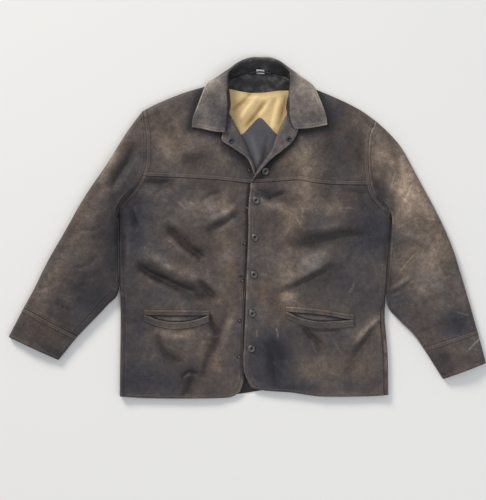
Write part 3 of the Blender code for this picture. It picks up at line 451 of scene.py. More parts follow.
    def strip_columns(self, y, cells):
        """Distances from the front edge and rises of the columns along it, curled where the lapel turns."""
        turned = np.interp(y, self.turned[:, 0], self.turned[:, 1], left=0, right=0)[:, None]
        arc = -STRIP + (STRIP + turned) * np.linspace(0, 1, cells + 1)
        if cells > self.BODY_STRIP_CELLS:
            steps = np.linspace(0, 1, self.CURL_CELLS + self.OVER_CELLS + 1)
            even = -self.EDGE_BAND + (self.EDGE_BAND + turned) * steps
            turns = np.linspace(0, 1, self.CURL_CELLS + 1)
            curl = np.broadcast_to(math.pi * CURL_RADIUS * turns, (len(y), len(turns)))
            beyond = np.linspace(0, 1, self.OVER_CELLS + 1)[1:]
            over = curl[:, -1:] + np.maximum(turned - curl[:, -1:], 1) * beyond
            share = ease((turned / curl[:, -1:] - 0.5) / 0.5)
            curled = even + (np.hstack([curl, over]) - even) * share
            arc = np.hstack([np.broadcast_to(self.BEFORE_CURL, (len(y), 2)), curled])
        turn = np.clip(arc / CURL_RADIUS, 0, math.pi)
        over = np.maximum(arc - math.pi * CURL_RADIUS, 0)
        curl_in = (CURL_RADIUS + LAPEL_STACK) * np.sin(np.minimum(turned / CURL_RADIUS, math.pi / 2))
        from_front = curl_in - CURL_RADIUS * np.sin(turn) + np.maximum(-arc, 0) + over
        sink = (2 * CURL_RADIUS - LAPEL_REST) * ease(over / self.SINK_LENGTH)
        return from_front, CURL_RADIUS * (1 - np.cos(turn)) - sink

    def grid(self, part):
        """Points and inward vectors of the lower front or the yoke, in rows from the hem up."""
        if part == "body":
            start = Rows(np.vstack([self.side_points, self.arm_points[1 : LOWER_ARM_ROWS + 1]]))
            lines = (self.hem, self.yoke, start, self.front)
            v = np.linspace(0, 1, len(start.points))
            v[-1] -= SEAM / 2 / self.front.length
            strip_cells = self.BODY_STRIP_CELLS
        else:
            start = Rows(self.arm_points[LOWER_ARM_ROWS:])
            lines = (self.yoke, self.shoulder, start, Rows(self.roll(self.ROLL_SHARES)))
            v = np.linspace(0, 1, len(start.points))[:-1]
            v[0] += SEAM / 2 / self.roll.length
            strip_cells = 1 + self.CURL_CELLS + self.OVER_CELLS + 1
        begin, end = patch(*lines, np.zeros(len(v)), v), patch(*lines, np.ones(len(v)), v)
        length = np.linalg.norm(end - begin, axis=-1)
        inset, drop, lean = self.side_columns(begin[:, 1])
        from_front, rise = self.strip_columns(end[:, 1], strip_cells)
        first, last = inset[:, -1], length - from_front[:, 0]
        middle = first[:, None] + (last - first)[:, None] * self.MIDDLE_SHARES[self.side][1:-1]
        across = np.hstack([inset, middle, length[:, None] - from_front])
        u = across / length[:, None]
        xy = patch(*lines, np.clip(u, 0, 1), np.broadcast_to(v[:, None], u.shape))
        if part == "body":
            xy[self.mouth_rows(), self.mouth_columns()] = self.mouth_lips()
        z = LOFT + (self.height(xy) - LOFT) * ease((across - EDGE_RADIUS) / 30)
        z[:, : inset.shape[1]] += drop
        z[:, -rise.shape[1] :] += rise
        grid = np.dstack([xy, z])
        if part == "yoke":
            grid = self.over_the_shoulder(grid)
            return grid, inward_of(grid, BELOW)
        inward = inward_of(grid, BELOW)
        across = (end - begin) / length[:, None]
        inward[:, : inset.shape[1]] = round_inward(across, lean, self.wrapped(begin[:, 1])[:, None], -1.0)
        return grid, inward

    def mouth_rows(self):
        return slice(MOUTH_ROW, MOUTH_ROW + 2)

    def mouth_columns(self):
        first = self.EDGE_CELLS + MOUTH_COLUMN
        return slice(first, first + MOUTH_CELLS + 1)

    def mouth_lips(self):
        """Points of the lower and the upper lip of the pocket's mouth, in the order of the columns."""
        share = np.linspace(0, 1, MOUTH_CELLS + 1)
        if self.side == "left":
            share = share[::-1]
        ends = np.abs(2 * share - 1) > 0.99
        upper, lower = (Line(lip)(share) for lip in POCKET_MOUTHS[self.side])
        upper[ends, 1] += MOUTH_END
        lower[ends, 1] -= MOUTH_END
        return np.stack([lower, upper])

    def mouth_mask(self, rows, columns):
        """False for the cells that the pocket's mouth leaves out."""
        kept = np.ones((rows - 1, columns - 1), bool)
        kept[MOUTH_ROW, self.mouth_columns().start : self.mouth_columns().stop - 1] = False
        return kept

    def over_the_shoulder(self, grid):
        """Adds the rows that carry the yoke over the shoulder line and down to the floor."""
        last = grid[-1]
        steps = np.linalg.norm(np.diff(last[:, :2], axis=0), axis=1)
        u = np.concatenate([[0], np.cumsum(steps)]) / steps.sum()
        u = u + 2 * SEAM / self.shoulder.length * (1 - u)
        line = self.shoulder(u)
        inward = last[:, :2] - line
        inward /= np.linalg.norm(inward, axis=1)[:, None]
        radius = EDGE_RADIUS + (NECK_HEIGHT / 2 - EDGE_RADIUS) * ease((u - 0.45) / 0.45)
        rows = [grid]
        for turn in np.linspace(math.pi, 0.18 * math.pi, self.SHOULDER_ROWS + 1):
            inset = radius - radius * math.sin(turn)
            z = radius - radius * math.cos(turn)
            rows.append(np.column_stack([line + inward * inset[:, None], z])[None])
        return np.vstack(rows)

# %% Facings
def facing_grid(body, yoke, body_in, yoke_in):
    """Points and inward vectors of the facing under one front: the front's own points along its edge."""
    cells = 1 + Front.CURL_CELLS + Front.OVER_CELLS + 1
    coarse = np.linspace(0, 1, Front.BODY_STRIP_CELLS + 1)
    fine = np.linspace(0, 1, cells + 1)
    rows = range(1, len(body) - 1, 2)

    def resampled(grid):
        strip = grid[rows, -len(coarse) :]
        finer = [[np.interp(fine, coarse, axis) for axis in row.T] for row in strip]
        return np.stack(finer).transpose(0, 2, 1)

    lapel = slice(0, UPPER_ARM_ROWS)
    points = np.vstack([resampled(body), yoke[lapel, -cells - 1 :]])
    inward = np.vstack([resampled(body_in), yoke_in[lapel, -cells - 1 :]])
    return points + inward * (LEATHER + FACING_GAP), inward

# %% [markdown]
# ## The back
# The back lies flat on the floor and turns up at the sides to meet the fronts.

# %% Back
def back_grid(fronts):
    """Points and inward vectors of the back's outer face: flat on the floor, turned up to each side seam."""
    edge_cells, middle = 4, 7
    # How far the back's top row stays under the shoulders, the length over which it comes there
    # from the neck, and where and how much more it gives way beside the neck.
    shoulder_inset, neck_blend = EDGE_RADIUS - 1.5, 8
    dip, dip_at, dip_width = 8, 46, 25
    columns, heights, leans, wraps, edges = [], [], [], [], []
    for front in (fronts["right"], fronts["left"]):
        edge = front.back_edge
        y = edge[:, 1]
        start = front.seam_arc(y)[:, None] - SEAM
        arc = start * np.linspace(1, 0, edge_cells + 1)
        inset, lift = edge_section(arc, EDGE_RADIUS)
        wrap = front.wrapped(y)[:, None]
        edges.append(edge)
        columns.append(wrap * (inset + SEAM / 2) + (1 - wrap) * (SEAM + start - arc))
        heights.append(wrap * lift)
        leans.append(np.clip(arc / EDGE_RADIUS, 0, math.pi))
        wraps.append(wrap)
    r_hem, l_hem = SIDES["right"]["hem"], SIDES["left"]["hem"]
    bottom = Line([r_hem[0], (-145, HEM + 4), (-30, HEM + 9), (10, HEM + 17), (60, HEM + 20), (103, HEM + 17),
                   (169, HEM + 8), l_hem[0]])
    neck = [(-38, 340.5), (-10, 348), (31, 351), (72, 348), (101, 340.5)]
    top = Line(SIDES["right"]["shoulder"][:-1] + neck + SIDES["left"]["shoulder"][-2::-1])
    lines = (bottom, top, Rows(edges[0]), Rows(edges[1]))
    v = np.linspace(0, 1, len(edges[0]))
    begin, end = patch(*lines, np.zeros(len(v)), v), patch(*lines, np.ones(len(v)), v)
    length = np.linalg.norm(end - begin, axis=-1)
    first, last = columns[0][:, -1], length - columns[1][:, -1]
    inner = first[:, None] + (last - first)[:, None] * np.linspace(0, 1, middle + 1)[1:-1]
    across = np.hstack([columns[0], inner, (length[:, None] - columns[1])[:, ::-1]])
    u = across / length[:, None]
    xy = patch(*lines, np.clip(u, 0, 1), np.broadcast_to(v[:, None], u.shape))
    z = np.hstack([heights[0], np.zeros(inner.shape), heights[1][:, ::-1]])
    down = xy[-2] - xy[-1]
    from_neck = np.abs(xy[-1, :, 0] - NECK_X) - NECK_HALF
    under = shoulder_inset * ease(from_neck / neck_blend)
    under = under + dip * np.exp(-(((from_neck - dip_at) / dip_width) ** 2))
    xy[-1] += down / np.linalg.norm(down, axis=1)[:, None] * under[:, None]
    towards = (end - begin) / length[:, None]
    inward = np.broadcast_to([0.0, 0.0, 1.0], (*z.shape, 3)).copy()
    inward[:, : edge_cells + 1] = round_inward(towards, leans[0], wraps[0], 1.0)
    inward[:, -edge_cells - 1 :] = round_inward(-towards, leans[1], wraps[1], 1.0)[:, ::-1]
    return np.dstack([xy, z]), inward

# %% [markdown]
# ## The sleeves
# A sleeve is a tube pressed flat. Sections run across it at stations from the armhole to the
# cuff, and each section is flat below, round at both edges and slightly crowned on top.

# %% Sleeves and cuffs
class Sleeve:
    """One sleeve: a flattened tube through sections across its length, from the armhole to the cuff's end."""

    SEAM_STATION = 7
    ROWS = 13
    ROUND_CELLS = 5
    NEAR_CELLS = 3
    CUFF_CELLS = 8
    TUCK = 15.0
    BESIDE = 2.2
    FAN = 8.0
    # Stations over which the armhole's bow fades, and over which the wall turns from straight across
    # the body to square across the sleeve.
    BOW_FADE, SQUARE_FADE = 3.2, 1.5
    # From how far below the armpit over what length the rows fan out, and up to where and down to
    # where the sleeve is kept clear of the body.
    FAN_FROM, FAN_LENGTH, CLEAR_TOP, CLEAR_LENGTH, CLEAR_BOTTOM = 4, 12, 160, 60, -200
    # The share of the width over which the top rises, and how narrow the first section is gathered.
    CROWN, GATHERED = 0.38, 0.15
    # How far past the rounded edge the first columns reach, and how far in on the top the right
    # sleeve's seam lies.
    PAST_ROUND, SEAM_ON_TOP = 5, 8
    RISE = [(0, 1.0), (1, 6.0), (2, 10.0), (3.5, 13.0), (5, 12.0), (7, 8.0), (8, 6.0)]
    RADIUS = [(0, 7.0), (2, 8.5), (5, 8.5), (7, 7.5), (8, 7.0)]

    def __init__(self, front):
        cut = SIDES[front.side]
        self.front = front
        self.under = []
        for x, y in cut["under"]:
            if x is None:
                x = float(front.side_line.x_at(y)) + front.sign * self.BESIDE
            self.under.append((x, y))
        self.under[0] = tuple(front.arm_points[0])
        self.outer = [tuple(front.arm_points[-1])] + cut["outer"][1:]

    def seam_arc(self, station, radius):
        """Where the underarm seam lies, measured round the section from the floor."""
        at_edge = 0.45 * math.pi * radius
        if self.front.side == "left":
            return at_edge
        on_top = math.pi * radius + self.SEAM_ON_TOP
        return at_edge + (on_top - at_edge) * ease((station - 2.5) / 2.0)

    def section(self, station, q, z, lean, radius):
        """Points and inward vectors for distances q from the underarm edge, 0 to 1 across, at a station."""
        a, b = smooth_curve(self.under, station)[:, None], smooth_curve(self.outer, station)[:, None]
        share = q[..., None]
        points, shares = self.front.arm_points, self.front.arm_shares
        on_floor = z < radius
        low = Rows(points[::2], shares[::2])(np.clip(q, 0, 1))
        high = Rows(points, shares)(np.clip(q, 0, 1))
        hole = np.where(on_floor[..., None], low, high)
        bow = hole - (points[0] + (points[-1] - points[0]) * share)
        bow[..., 0] += self.front.sign * SEAM
        fade = (1 - ease(station / self.BOW_FADE))[:, None, None]
        xy = self.clear_of_body(station[:, None], a + (b - a) * share + bow * fade, on_floor)
        across = (b - a) / np.linalg.norm(b - a, axis=-1, keepdims=True)
        at_armpit = (1 - ease(station / self.SQUARE_FADE))[:, None, None] * (lean > 0)[..., None]
        across = across * (1 - at_armpit) + np.array([self.front.sign, 0.0]) * at_armpit
        across = across / np.linalg.norm(across, axis=-1, keepdims=True) * np.sin(lean)[..., None]
        return np.dstack([xy, z]), np.dstack([across, np.cos(lean)])

    def clear_of_body(self, station, xy, on_floor):
        """The points moved sideways off the body: the rows fan out at the armpit."""
        x, y = xy[..., 0], xy[..., 1]
        sign = self.front.sign
        above = ease((y - self.front.armpit[1] + self.FAN_FROM) / self.FAN_LENGTH)
        margin = self.FAN * ease(station / 1.2) * above + self.BESIDE * ease(station / 0.3) * (1 - above)
        edge = self.front.edge_x(y, on_floor)
        near = sign * np.maximum(sign * x, sign * edge + np.maximum(margin, SEAM))
        low = ease((self.CLEAR_TOP - y) / self.CLEAR_LENGTH) * (y > self.CLEAR_BOTTOM)
        return np.stack([x + (near - x) * low, y], -1)

    def ring(self, station, part):
        """Points of the outer face and inward vectors, a row for each station, for one part of the tube."""
        station = np.asarray(station, float)
        across = smooth_curve(self.outer, station) - smooth_curve(self.under, station)
        width = np.linalg.norm(across, axis=1)[:, None]
        radius = np.interp(station, *np.array(self.RADIUS).T)[:, None]
        rise = np.interp(station, *np.array(self.RISE).T)[:, None]
        seam = self.seam_arc(station[:, None], radius)
        spread = ease(station / 1.5)[:, None]
        gathered = self.GATHERED + (1 - self.GATHERED) * ease(station / 1.2)[:, None]

        def top(q):
            t = np.clip((q - radius) / (width - 2 * radius), 0, 1)
            return 2 * radius + rise * ease(np.minimum(t, 1 - t) / self.CROWN)

        def near(first, last, cells):
            arc = first + (last - first) * np.linspace(0, 1, cells + 1)
            q, z = edge_section(arc, radius)
            z = z + np.where(q > radius, top(q) - 2 * radius, 0) * (arc > radius)
            return q * gathered, z, np.clip(arc / radius, 0, math.pi)

        def between(first, last, shares):
            even = first + (last - first) * np.linspace(0, 1, len(shares) + 2)[1:-1]
            return shares * width * (1 - spread) + even * spread

        turns = np.linspace(math.pi, 0, self.ROUND_CELLS + 1)
        far, far_z = width - radius + radius * np.sin(turns), radius - radius * np.cos(turns)
        far_lean = np.broadcast_to(-turns, far.shape)
        tuck = width - radius - self.TUCK
        round_arc = math.pi * radius
        if part == "top":
            start = seam + SEAM / 2
            q, z, lean = near(start, np.maximum(start, round_arc) + self.PAST_ROUND, self.NEAR_CELLS)
            middle = between(q[:, -1:], width - radius, self.front.arm_shares[1:-1])
            q = np.hstack([q, middle, far, tuck + SEAM / 2])
            z = np.hstack([z, top(middle), far_z, 0 * tuck])
            lean = np.hstack([lean, 0 * middle + math.pi, far_lean, 0 * tuck])
        elif part == "under":
            q, z, lean = near(0 * seam, seam - SEAM / 2, self.ROUND_CELLS)
            start = tuck - SEAM / 2
            floor = between(start, radius, self.front.arm_shares[2:-2:2][::-1])
            q = np.hstack([start, floor, q])
            z = np.hstack([0 * start, 0 * floor, z])
            lean = np.hstack([0 * start, 0 * floor, lean])
        else:
            q, z, lean = near(0 * seam, round_arc, self.ROUND_CELLS)
            middle = radius + (width - 2 * radius) * np.linspace(0, 1, self.CUFF_CELLS + 1)[1:-1]
            floor = middle[:, ::-3]
            q = np.hstack([q, middle, far, floor])
            z = np.hstack([z, top(middle), far_z, 0 * floor])
            lean = np.hstack([lean, 0 * middle + math.pi, far_lean, 0 * floor])
        return self.section(station, q / width, z, lean, radius)

# %% [markdown]
# ## The collar
# The collar stands up from the neck seam, rolls over and falls outwards. Fifteen sections say
# where its stand, its roll and its edge are, and smooth curves join them.

# %% Collar
def collar_grid():
    """Points of the collar's upper face, from the neck seam over the roll to its outer edge."""
    # Each station: neck seam, stand, roll, leaf near the roll, leaf, outer edge.
    stations = [
        [(-48, 219, 22.5), (-49, 219, 23.4), (-52, 218.5, 24.2), (-74, 220, 22.5), (-100, 226, 19.5),
         (-126, 230, 17.5)],
        [(-44, 245, 20.0), (-44, 245, 24.5), (-49, 245, 27.0), (-72, 246, 24.5), (-97, 248, 20.5),
         (-124, 251, 17.5)],
        [(-42, 275, 14.5), (-41, 275, 21.0), (-46, 275, 26.5), (-68, 276, 25.0), (-90, 278, 21.0),
         (-113, 280, 17.5)],
        [(-41, 305, 12.0), (-41, 306, 20.0), (-47, 306, 27.0), (-67, 307, 26.0), (-86, 310, 21.5),
         (-102, 308, 17.5)],
        [(-41, 333, 10.6), (-42, 338, 18.0), (-45, 344, 27.5), (-63, 342, 25.0), (-81, 336, 16.8),
         (-88, 333, 7.5)],
        [(-29, 344.6, 3.0), (-33, 353, 13.0), (-36, 361, 23.0), (-45, 361, 19.0), (-57, 353, 9.0),
         (-52, 346, 1.5)],
        [(-5, 349.8, 1.8), (-8, 364, 11.0), (-9, 376, 18.5), (-8, 384.5, 14.0), (-8, 384.5, 5.0),
         (-6, 361, 0.0)],
        [(31, 351.7, 1.8), (31, 368, 10.5), (31, 381, 18.0), (31, 389.5, 13.5), (31, 389.5, 4.5),
         (31, 362, 0.0)],
        [(67, 349.8, 1.8), (68, 364, 11.0), (68, 376, 18.5), (68, 385.5, 14.0), (68, 385.5, 5.0),
         (67, 361, 0.0)],
        [(91, 344.6, 3.0), (92, 353, 13.0), (94, 361, 23.0), (103, 361, 19.0), (115, 353, 9.0),
         (112, 345, 1.5)],
        [(103, 333, 10.6), (98, 338, 18.0), (99, 344, 27.5), (118, 342, 25.0), (137, 336, 16.5),
         (147, 331, 6.5)],
        [(104, 305, 12.0), (96, 306, 20.0), (99, 306, 27.0), (122, 307, 26.0), (146, 310, 21.5),
         (162, 307, 17.5)],
        [(105, 275, 14.5), (96, 275, 21.0), (99, 275, 26.5), (127, 276, 25.0), (154, 278, 21.0),
         (175, 276, 17.5)],
        [(105, 245, 20.0), (98, 245, 24.5), (101, 245, 27.0), (130, 246, 24.5), (158, 248, 20.5),
         (183, 250, 17.5)],
        [(106, 226, 22.5), (107, 226, 23.4), (110, 226, 24.2), (134, 227, 22.5), (160, 231, 19.5),
         (184, 236, 17.5)],
    ]
    stations = np.array(stations, float)
    along = np.linspace(0, len(stations) - 1, 25)
    lengthwise = smooth_curve(stations.reshape(len(stations), -1), along).reshape(len(along), 6, 3)
    across = np.linspace(0, 5, 11)
    return np.array([smooth_curve(row, across) for row in lengthwise])

# %% [markdown]
# ## From points to a mesh
# Every sheet is closed here in one way: outer face, inner face and rim. The numbers that a
# material needs at each point, such as how rubbed the hide is, go along as attributes,
# because they follow the piece whatever the camera does.

# %% Making a sheet
def attribute(mesh, name, values):
    data = mesh.attributes.new(name, "FLOAT", "POINT").data
    data.foreach_set("value", np.asarray(values, np.float32).ravel())


def object_of(name, points, faces, material):
    """A mesh object at the origin, from points in millimetres in the frame of the outlines."""
    mesh = bpy.data.meshes.new(name)
    mesh.from_pydata(((points - CENTRE) * MM).tolist(), [], np.asarray(faces).tolist())
    mesh.materials.append(material)
    mesh.shade_smooth()
    piece = bpy.data.objects.new(name, mesh)
    bpy.context.scene.collection.objects.link(piece)
    return piece


LEAST_HEIGHT = 0.02


def sheet(name, outer, inward, thickness, material, paint, closed=False, kept=None, raised=None):
    """A closed wall: the outer grid, the same moved in by the thickness and what is raised, and a rim."""
    rows, columns = outer.shape[:2]
    inner = outer + inward * (thickness + (0 if raised is None else raised[..., None]))
    points = np.concatenate([outer.reshape(-1, 3), inner.reshape(-1, 3)])
    points[:, 2] = np.maximum(points[:, 2], LEAST_HEIGHT)
    index = np.arange(rows * columns).reshape(rows, columns)
    if closed:
        index = np.hstack([index, index[:, :1]])
    faces = triangles(index, kept)
    out = np.cross(outer[:-1, 1:] - outer[:-1, :-1], outer[1:, :-1] - outer[:-1, :-1])
    if np.sum(out * inward[:-1, :-1]) > 0:
        faces = faces[:, ::-1]
    faces = np.concatenate([faces, faces[:, ::-1] + rows * columns, rim_of(faces, points)])
    used, faces = np.unique(faces, return_inverse=True)
    piece = object_of(name, points[used], faces.reshape(-1, 3), material)
    for key, values in paint.items():
        both = np.concatenate([np.ravel(values), np.ravel(values)])
        attribute(piece.data, key, both[used])
    return piece


def area_of(outer):
    """Area of a grid in square metres: half the cross product of the diagonals of each cell, added up."""
    cells = np.cross(outer[1:, 1:] - outer[:-1, :-1], outer[1:, :-1] - outer[:-1, 1:])
    return float(np.linalg.norm(cells, axis=-1).sum() / 2) * MM * MM


def laid_sheet(name, outer, inward, thickness, material, paint, slot, flat, node, **wall):
    """Makes a sheet and says what it is: its body, the solid that it stands for and its cut. Its slot is not
    used.
    """
    piece = sheet(name, outer, inward, thickness, material, paint, **wall)
    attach(piece, "root")
    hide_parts(node)
    area = min(area_of(outer), flat[0] * flat[1])
    print(piece.name, len(piece.data.polygons), "triangles,", round(area, 3), "square metres")


# %% [markdown]
# ## Noise and distances
# Leather is never even. A value noise, random heights on a lattice smoothly joined, gives its
# slow waves. Seams need the distance of each point from a line: the nearest of its segments.

# %% Noise and distances
def noise(xy, size, seed):
    """Smooth random numbers from -1 to 1, a new one every size mm: the four corners of a cell, blended."""
    at = np.asarray(xy) / size
    cell = np.floor(at).astype(np.int64)
    t = at - cell
    t = t * t * (3 - 2 * t)

    def corner(i, j):
        n = ((cell[..., 0] + i) * 374761393 + (cell[..., 1] + j) * 668265263 + seed * 974634777) & 0x7FFFFFFF
        n = ((n ^ (n >> 13)) * 1274126177) & 0x7FFFFFFF
        return ((n ^ (n >> 16)) & 0xFFFF) / 32767.5 - 1

    low = corner(0, 0) * (1 - t[..., 0]) + corner(1, 0) * t[..., 0]
    high = corner(0, 1) * (1 - t[..., 0]) + corner(1, 1) * t[..., 0]
    return low * (1 - t[..., 1]) + high * t[..., 1]


def away_from(xy, line):
    """Distance in mm of each point from the nearest segment of a line across the floor."""
    line = np.asarray(line, float)[:, :2]
    best = np.full(xy.shape[:-1], 1e6)
    for a, b in zip(line[:-1], line[1:]):
        t = np.clip(((xy - a) @ (b - a)) / max(float((b - a) @ (b - a)), 1e-9), 0, 1)
        best = np.minimum(best, np.linalg.norm(xy - (a + t[..., None] * (b - a)), axis=-1))
    return best


def bell(x, width):
    return np.exp(-((x / width) ** 2))


# %% [markdown]
# ## What wear and painted shade have done to the colour
# The hide was dyed dark and has rubbed through: tan where it is handled, navy grey where the
# dye has held, and brown in between. Some of the patches are painted shade instead: below the
# yoke seams, under the lapel, along the chest hollow and the belly drag, in the sleeve's hollow
# and beside the sleeves. The patches are listed, each with its place, its reach, how warm it is
# and how light it is. The material mixes noise into their edges.

# %% Rubbed, stained and shaded patches
# Name, middle, reach across and along, turn in degrees, warmth from navy -1 to tan 1, lightness.
WEAR_AND_SHADE_PATCHES = [
    ("right shoulder", (-170, 250), (70, 45), 0, 0.2, 0.0),
    ("right yoke rub", (-165, 195), (60, 55), 0, 0.3, 0.42),
    ("right yoke stain", (-122, 163), (34, 24), 0, 0.1, -0.35),
    ("right yoke by the armhole", (-222, 170), (20, 60), 0, 0.1, -0.15),
    ("right yoke neck side", (-60, 160), (28, 40), 0, 0.0, 0.12),
    ("right underarm", (-262, 45), (34, 70), 0, -0.75, -0.22),
    # Painted shade below the lap of the yoke seam.
    ("right below the yoke seam", (-208, 108), (34, 12), 0, 0.3, -0.4),
    ("right chest rub", (-140, 45), (60, 40), 0, 0.1, 0.18),
    ("right chest tan", (-78, 52), (34, 34), 0, 0.3, 0.2),
    ("right side dye", (-262, -60), (36, 110), 0, -0.6, -0.15),
    ("right belly", (-140, -70), (60, 40), -25, -0.15, 0.05),
    ("right front edge rub", (-48, -80), (28, 100), 0, 0.4, 0.25),
    ("right pocket top", (-185, -155), (50, 26), 0, -0.8, 0.05),
    ("right pocket below", (-150, -250), (50, 28), 0, 0.35, 0.0),
    ("right lower rub", (-92, -300), (34, 58), -20, 0.5, 0.3),
    ("right hem dye", (-225, -352), (80, 34), 5, -1.1, -0.12),
    ("right hem corner dye", (-275, -280), (26, 90), 0, -0.3, -0.1),
    ("right hem middle", (-125, -335), (44, 38), 0, 0.1, -0.36),
    ("right hem front corner", (-50, -350), (40, 34), 0, 0.2, 0.0),
    ("left yoke rub", (132, 150), (30, 50), 8, 0.5, 0.38),
    ("left yoke dark", (222, 185), (38, 60), -20, 0.1, -0.22),
    ("left collar shade", (200, 250), (30, 34), -30, -0.5, -0.2),
    ("left shoulder rub", (252, 236), (44, 30), -35, 0.15, 0.2),
    ("left lapel side", (85, 160), (26, 40), 30, 0.1, -0.1),
    # Painted shadow under the lapel's roll.
    ("left shadow under the lapel", (52, 128), (20, 18), 30, 0.0, -0.5),
    # Painted shade below the lap of the yoke seam.
    ("left shade below the yoke seam", (55, 78), (36, 12), -8, 0.3, -0.45),
    ("left chest tan", (118, 66), (38, 40), 20, 0.45, 0.38),
    ("left chest middle tan", (100, 2), (24, 60), 12, 0.5, 0.3),
    ("left chest pale", (190, 40), (44, 20), 0, 0.1, 0.22),
    # Painted shade, warm in hue, along the chest hollow.
    ("left chest hollow shade", (172, -26), (80, 16), 6, 0.7, -0.42),
    ("left underarm dye", (292, 25), (42, 60), 0, -0.8, -0.15),
    ("left side dye", (270, -30), (44, 40), 0, -0.5, -0.15),
    ("left belly pale", (170, -58), (54, 18), 24, 0.1, 0.0),
    ("left belly tan", (78, -95), (28, 60), 8, 0.4, 0.2),
    # Painted shade, warm in hue, along the trough of the belly drag.
    ("left belly drag", (110, -134), (60, 12), 24, 0.9, -0.38),
    ("left front edge rub", (34, -120), (20, 80), 0, 0.4, 0.06),
    ("left belly grey", (200, -120), (60, 40), -25, -0.5, 0.05),
    ("left pocket end", (262, -170), (40, 40), 0, -0.1, -0.05),
    ("left pocket side tan", (88, -180), (30, 36), 0, 0.6, 0.12),
    ("left pocket below", (160, -234), (50, 14), 0, 0.4, -0.25),
    ("left oil stain", (64, -314), (56, 58), 12, -1.2, -0.2),
    ("left oil stain top", (44, -262), (48, 26), 0, -0.9, -0.15),
    ("left oil streak", (54, -300), (22, 60), 8, -0.5, -0.08),
    ("left hem dye", (120, -372), (70, 16), 0, -0.6, -0.2),
    ("left lower rub", (170, -320), (60, 36), 0, 0.45, 0.16),
    ("left lower corner", (272, -320), (50, 60), 0, 0.3, 0.06),
    ("left side shade", (262, -262), (14, 50), -38, 0.5, -0.3),
    ("left side seam rub", (296, -225), (16, 40), -38, 0.25, 0.2),
    ("right sleeve head", (-300, 205), (30, 50), 30, 0.4, 0.16),
    # Painted shade in the hollow at the sleeve head.
    ("right sleeve hollow shade", (-284, 132), (20, 58), -24, 0.6, -0.55),
    ("right sleeve upper rub", (-320, 120), (24, 50), -25, 0.3, 0.14),
    ("right sleeve elbow", (-375, 0), (50, 100), -35, 0.3, -0.22),
    ("right sleeve inner", (-312, -50), (30, 90), 0, -0.1, -0.4),
    ("right sleeve forearm", (-400, -120), (50, 60), -35, 0.3, -0.26),
    ("right sleeve outer rub", (-440, -110), (30, 90), -32, 0.5, 0.26),
    ("right sleeve upper outer rub", (-365, 60), (26, 60), -32, 0.3, 0.2),
    ("right cuff corner", (-440, -292), (34, 22), -30, -0.2, -0.4),
    # Painted shade in the slits between the body and the sleeves.
    ("right shade by the sleeve", (-294, -50), (8, 100), 0, 0.0, -0.45),
    ("left shade by the sleeve", (325, -70), (8, 120), 0, 0.2, -0.5),
    ("left cuff corner", (455, -325), (30, 24), 0, 0.1, -0.45),
    ("left cuff edge", (522, -306), (26, 18), 0, 0.1, -0.25),
    ("right sleeve lower inner", (-350, -165), (44, 44), 0, -0.7, -0.32),
    ("right cuff", (-480, -225), (70, 50), 0, 0.3, -0.26),
    ("left sleeve head rub", (335, 140), (50, 90), 25, 0.5, 0.5),
    ("left sleeve outer rub", (410, 30), (44, 100), 25, 0.5, 0.38),
    ("left sleeve inner rub", (352, 40), (34, 60), 0, 0.4, 0.3),
    ("left sleeve seam shade", (298, 96), (7, 46), 18, 0.2, -0.4),
    ("left elbow", (400, -80), (60, 50), 0, 0.4, 0.36),
    ("left forearm", (420, -150), (60, 40), 0, 0.0, 0.3),
    ("left forearm dye", (482, -212), (36, 20), -10, -1.0, -0.3),
    ("left forearm inner", (345, -170), (34, 50), 30, -0.5, -0.15),
    ("left cuff", (480, -290), (60, 50), 0, 0.2, 0.2),
    ("left cuff dye", (440, -300), (30, 24), 0, -0.4, -0.1),
    ("right worn hole by the third stud", (-21, -114), (2.0, 2.0), 0, 0.0, -2.2),
]

# Scuffs down to the pale flesh of the hide: the line and how strong it is.
SCUFFS = [
    ([(68, -232), (71, -244), (69, -255)], 1.0),
    ([(22, -234), (24, -250)], 0.6),
    ([(234, -148), (242, -138), (244, -129)], 0.9),
    ([(509, -277), (533, -254)], 0.9),
    ([(481, -193), (508, -200)], 0.7),
    ([(-178, -30), (-176, -31)], 1.0),
    ([(-235, -45), (-234, -46)], 0.8),
    ([(-154, 58), (-142, 44)], 0.5),
    ([(-132, 60), (-122, 52)], 0.45),
    ([(-305, -138), (-276, -158)], 0.6),
    ([(-292, -128), (-270, -136)], 0.5),
    ([(-90, -246), (-66, -250)], 0.6),
    ([(-104, -262), (-80, -262)], 0.4),
    ([(128, 44), (124, 12)], 0.5),
    ([(116, 20), (124, 2)], 0.5),
    ([(148, -258), (156, -284)], 0.4),
    ([(200, -262), (214, -284)], 0.4),
    ([(330, -156), (379, -122)], 0.5),
    ([(352, -96), (380, -62)], 0.6),
    ([(345, 2), (388, 22), (430, 20)], 0.4),
    ([(360, 60), (376, 96)], 0.4),
    ([(330, 96), (340, 130)], 0.35),
    ([(212, 44), (240, 46)], 0.4),
    ([(170, 120), (176, 150)], 0.3),
    ([(316, -258), (318, -286)], 0.6),
    ([(319, -300), (321, -334)], 0.45),
    ([(322, -348), (323, -376)], 0.5),
]


SCUFF_WIDTH = 1.7
# The patches' edges wander by about this much, in slow waves with quicker ones on them.
WANDER, SLOW, QUICK = 11, 60, 22


def scuffed(xy):
    """How scuffed each point is: the strength of a line, falling off as a bell curve."""
    total = np.zeros(xy.shape[:-1])
    for line, strength in SCUFFS:
        total = np.maximum(total, strength * bell(away_from(xy, line), SCUFF_WIDTH))
    return total


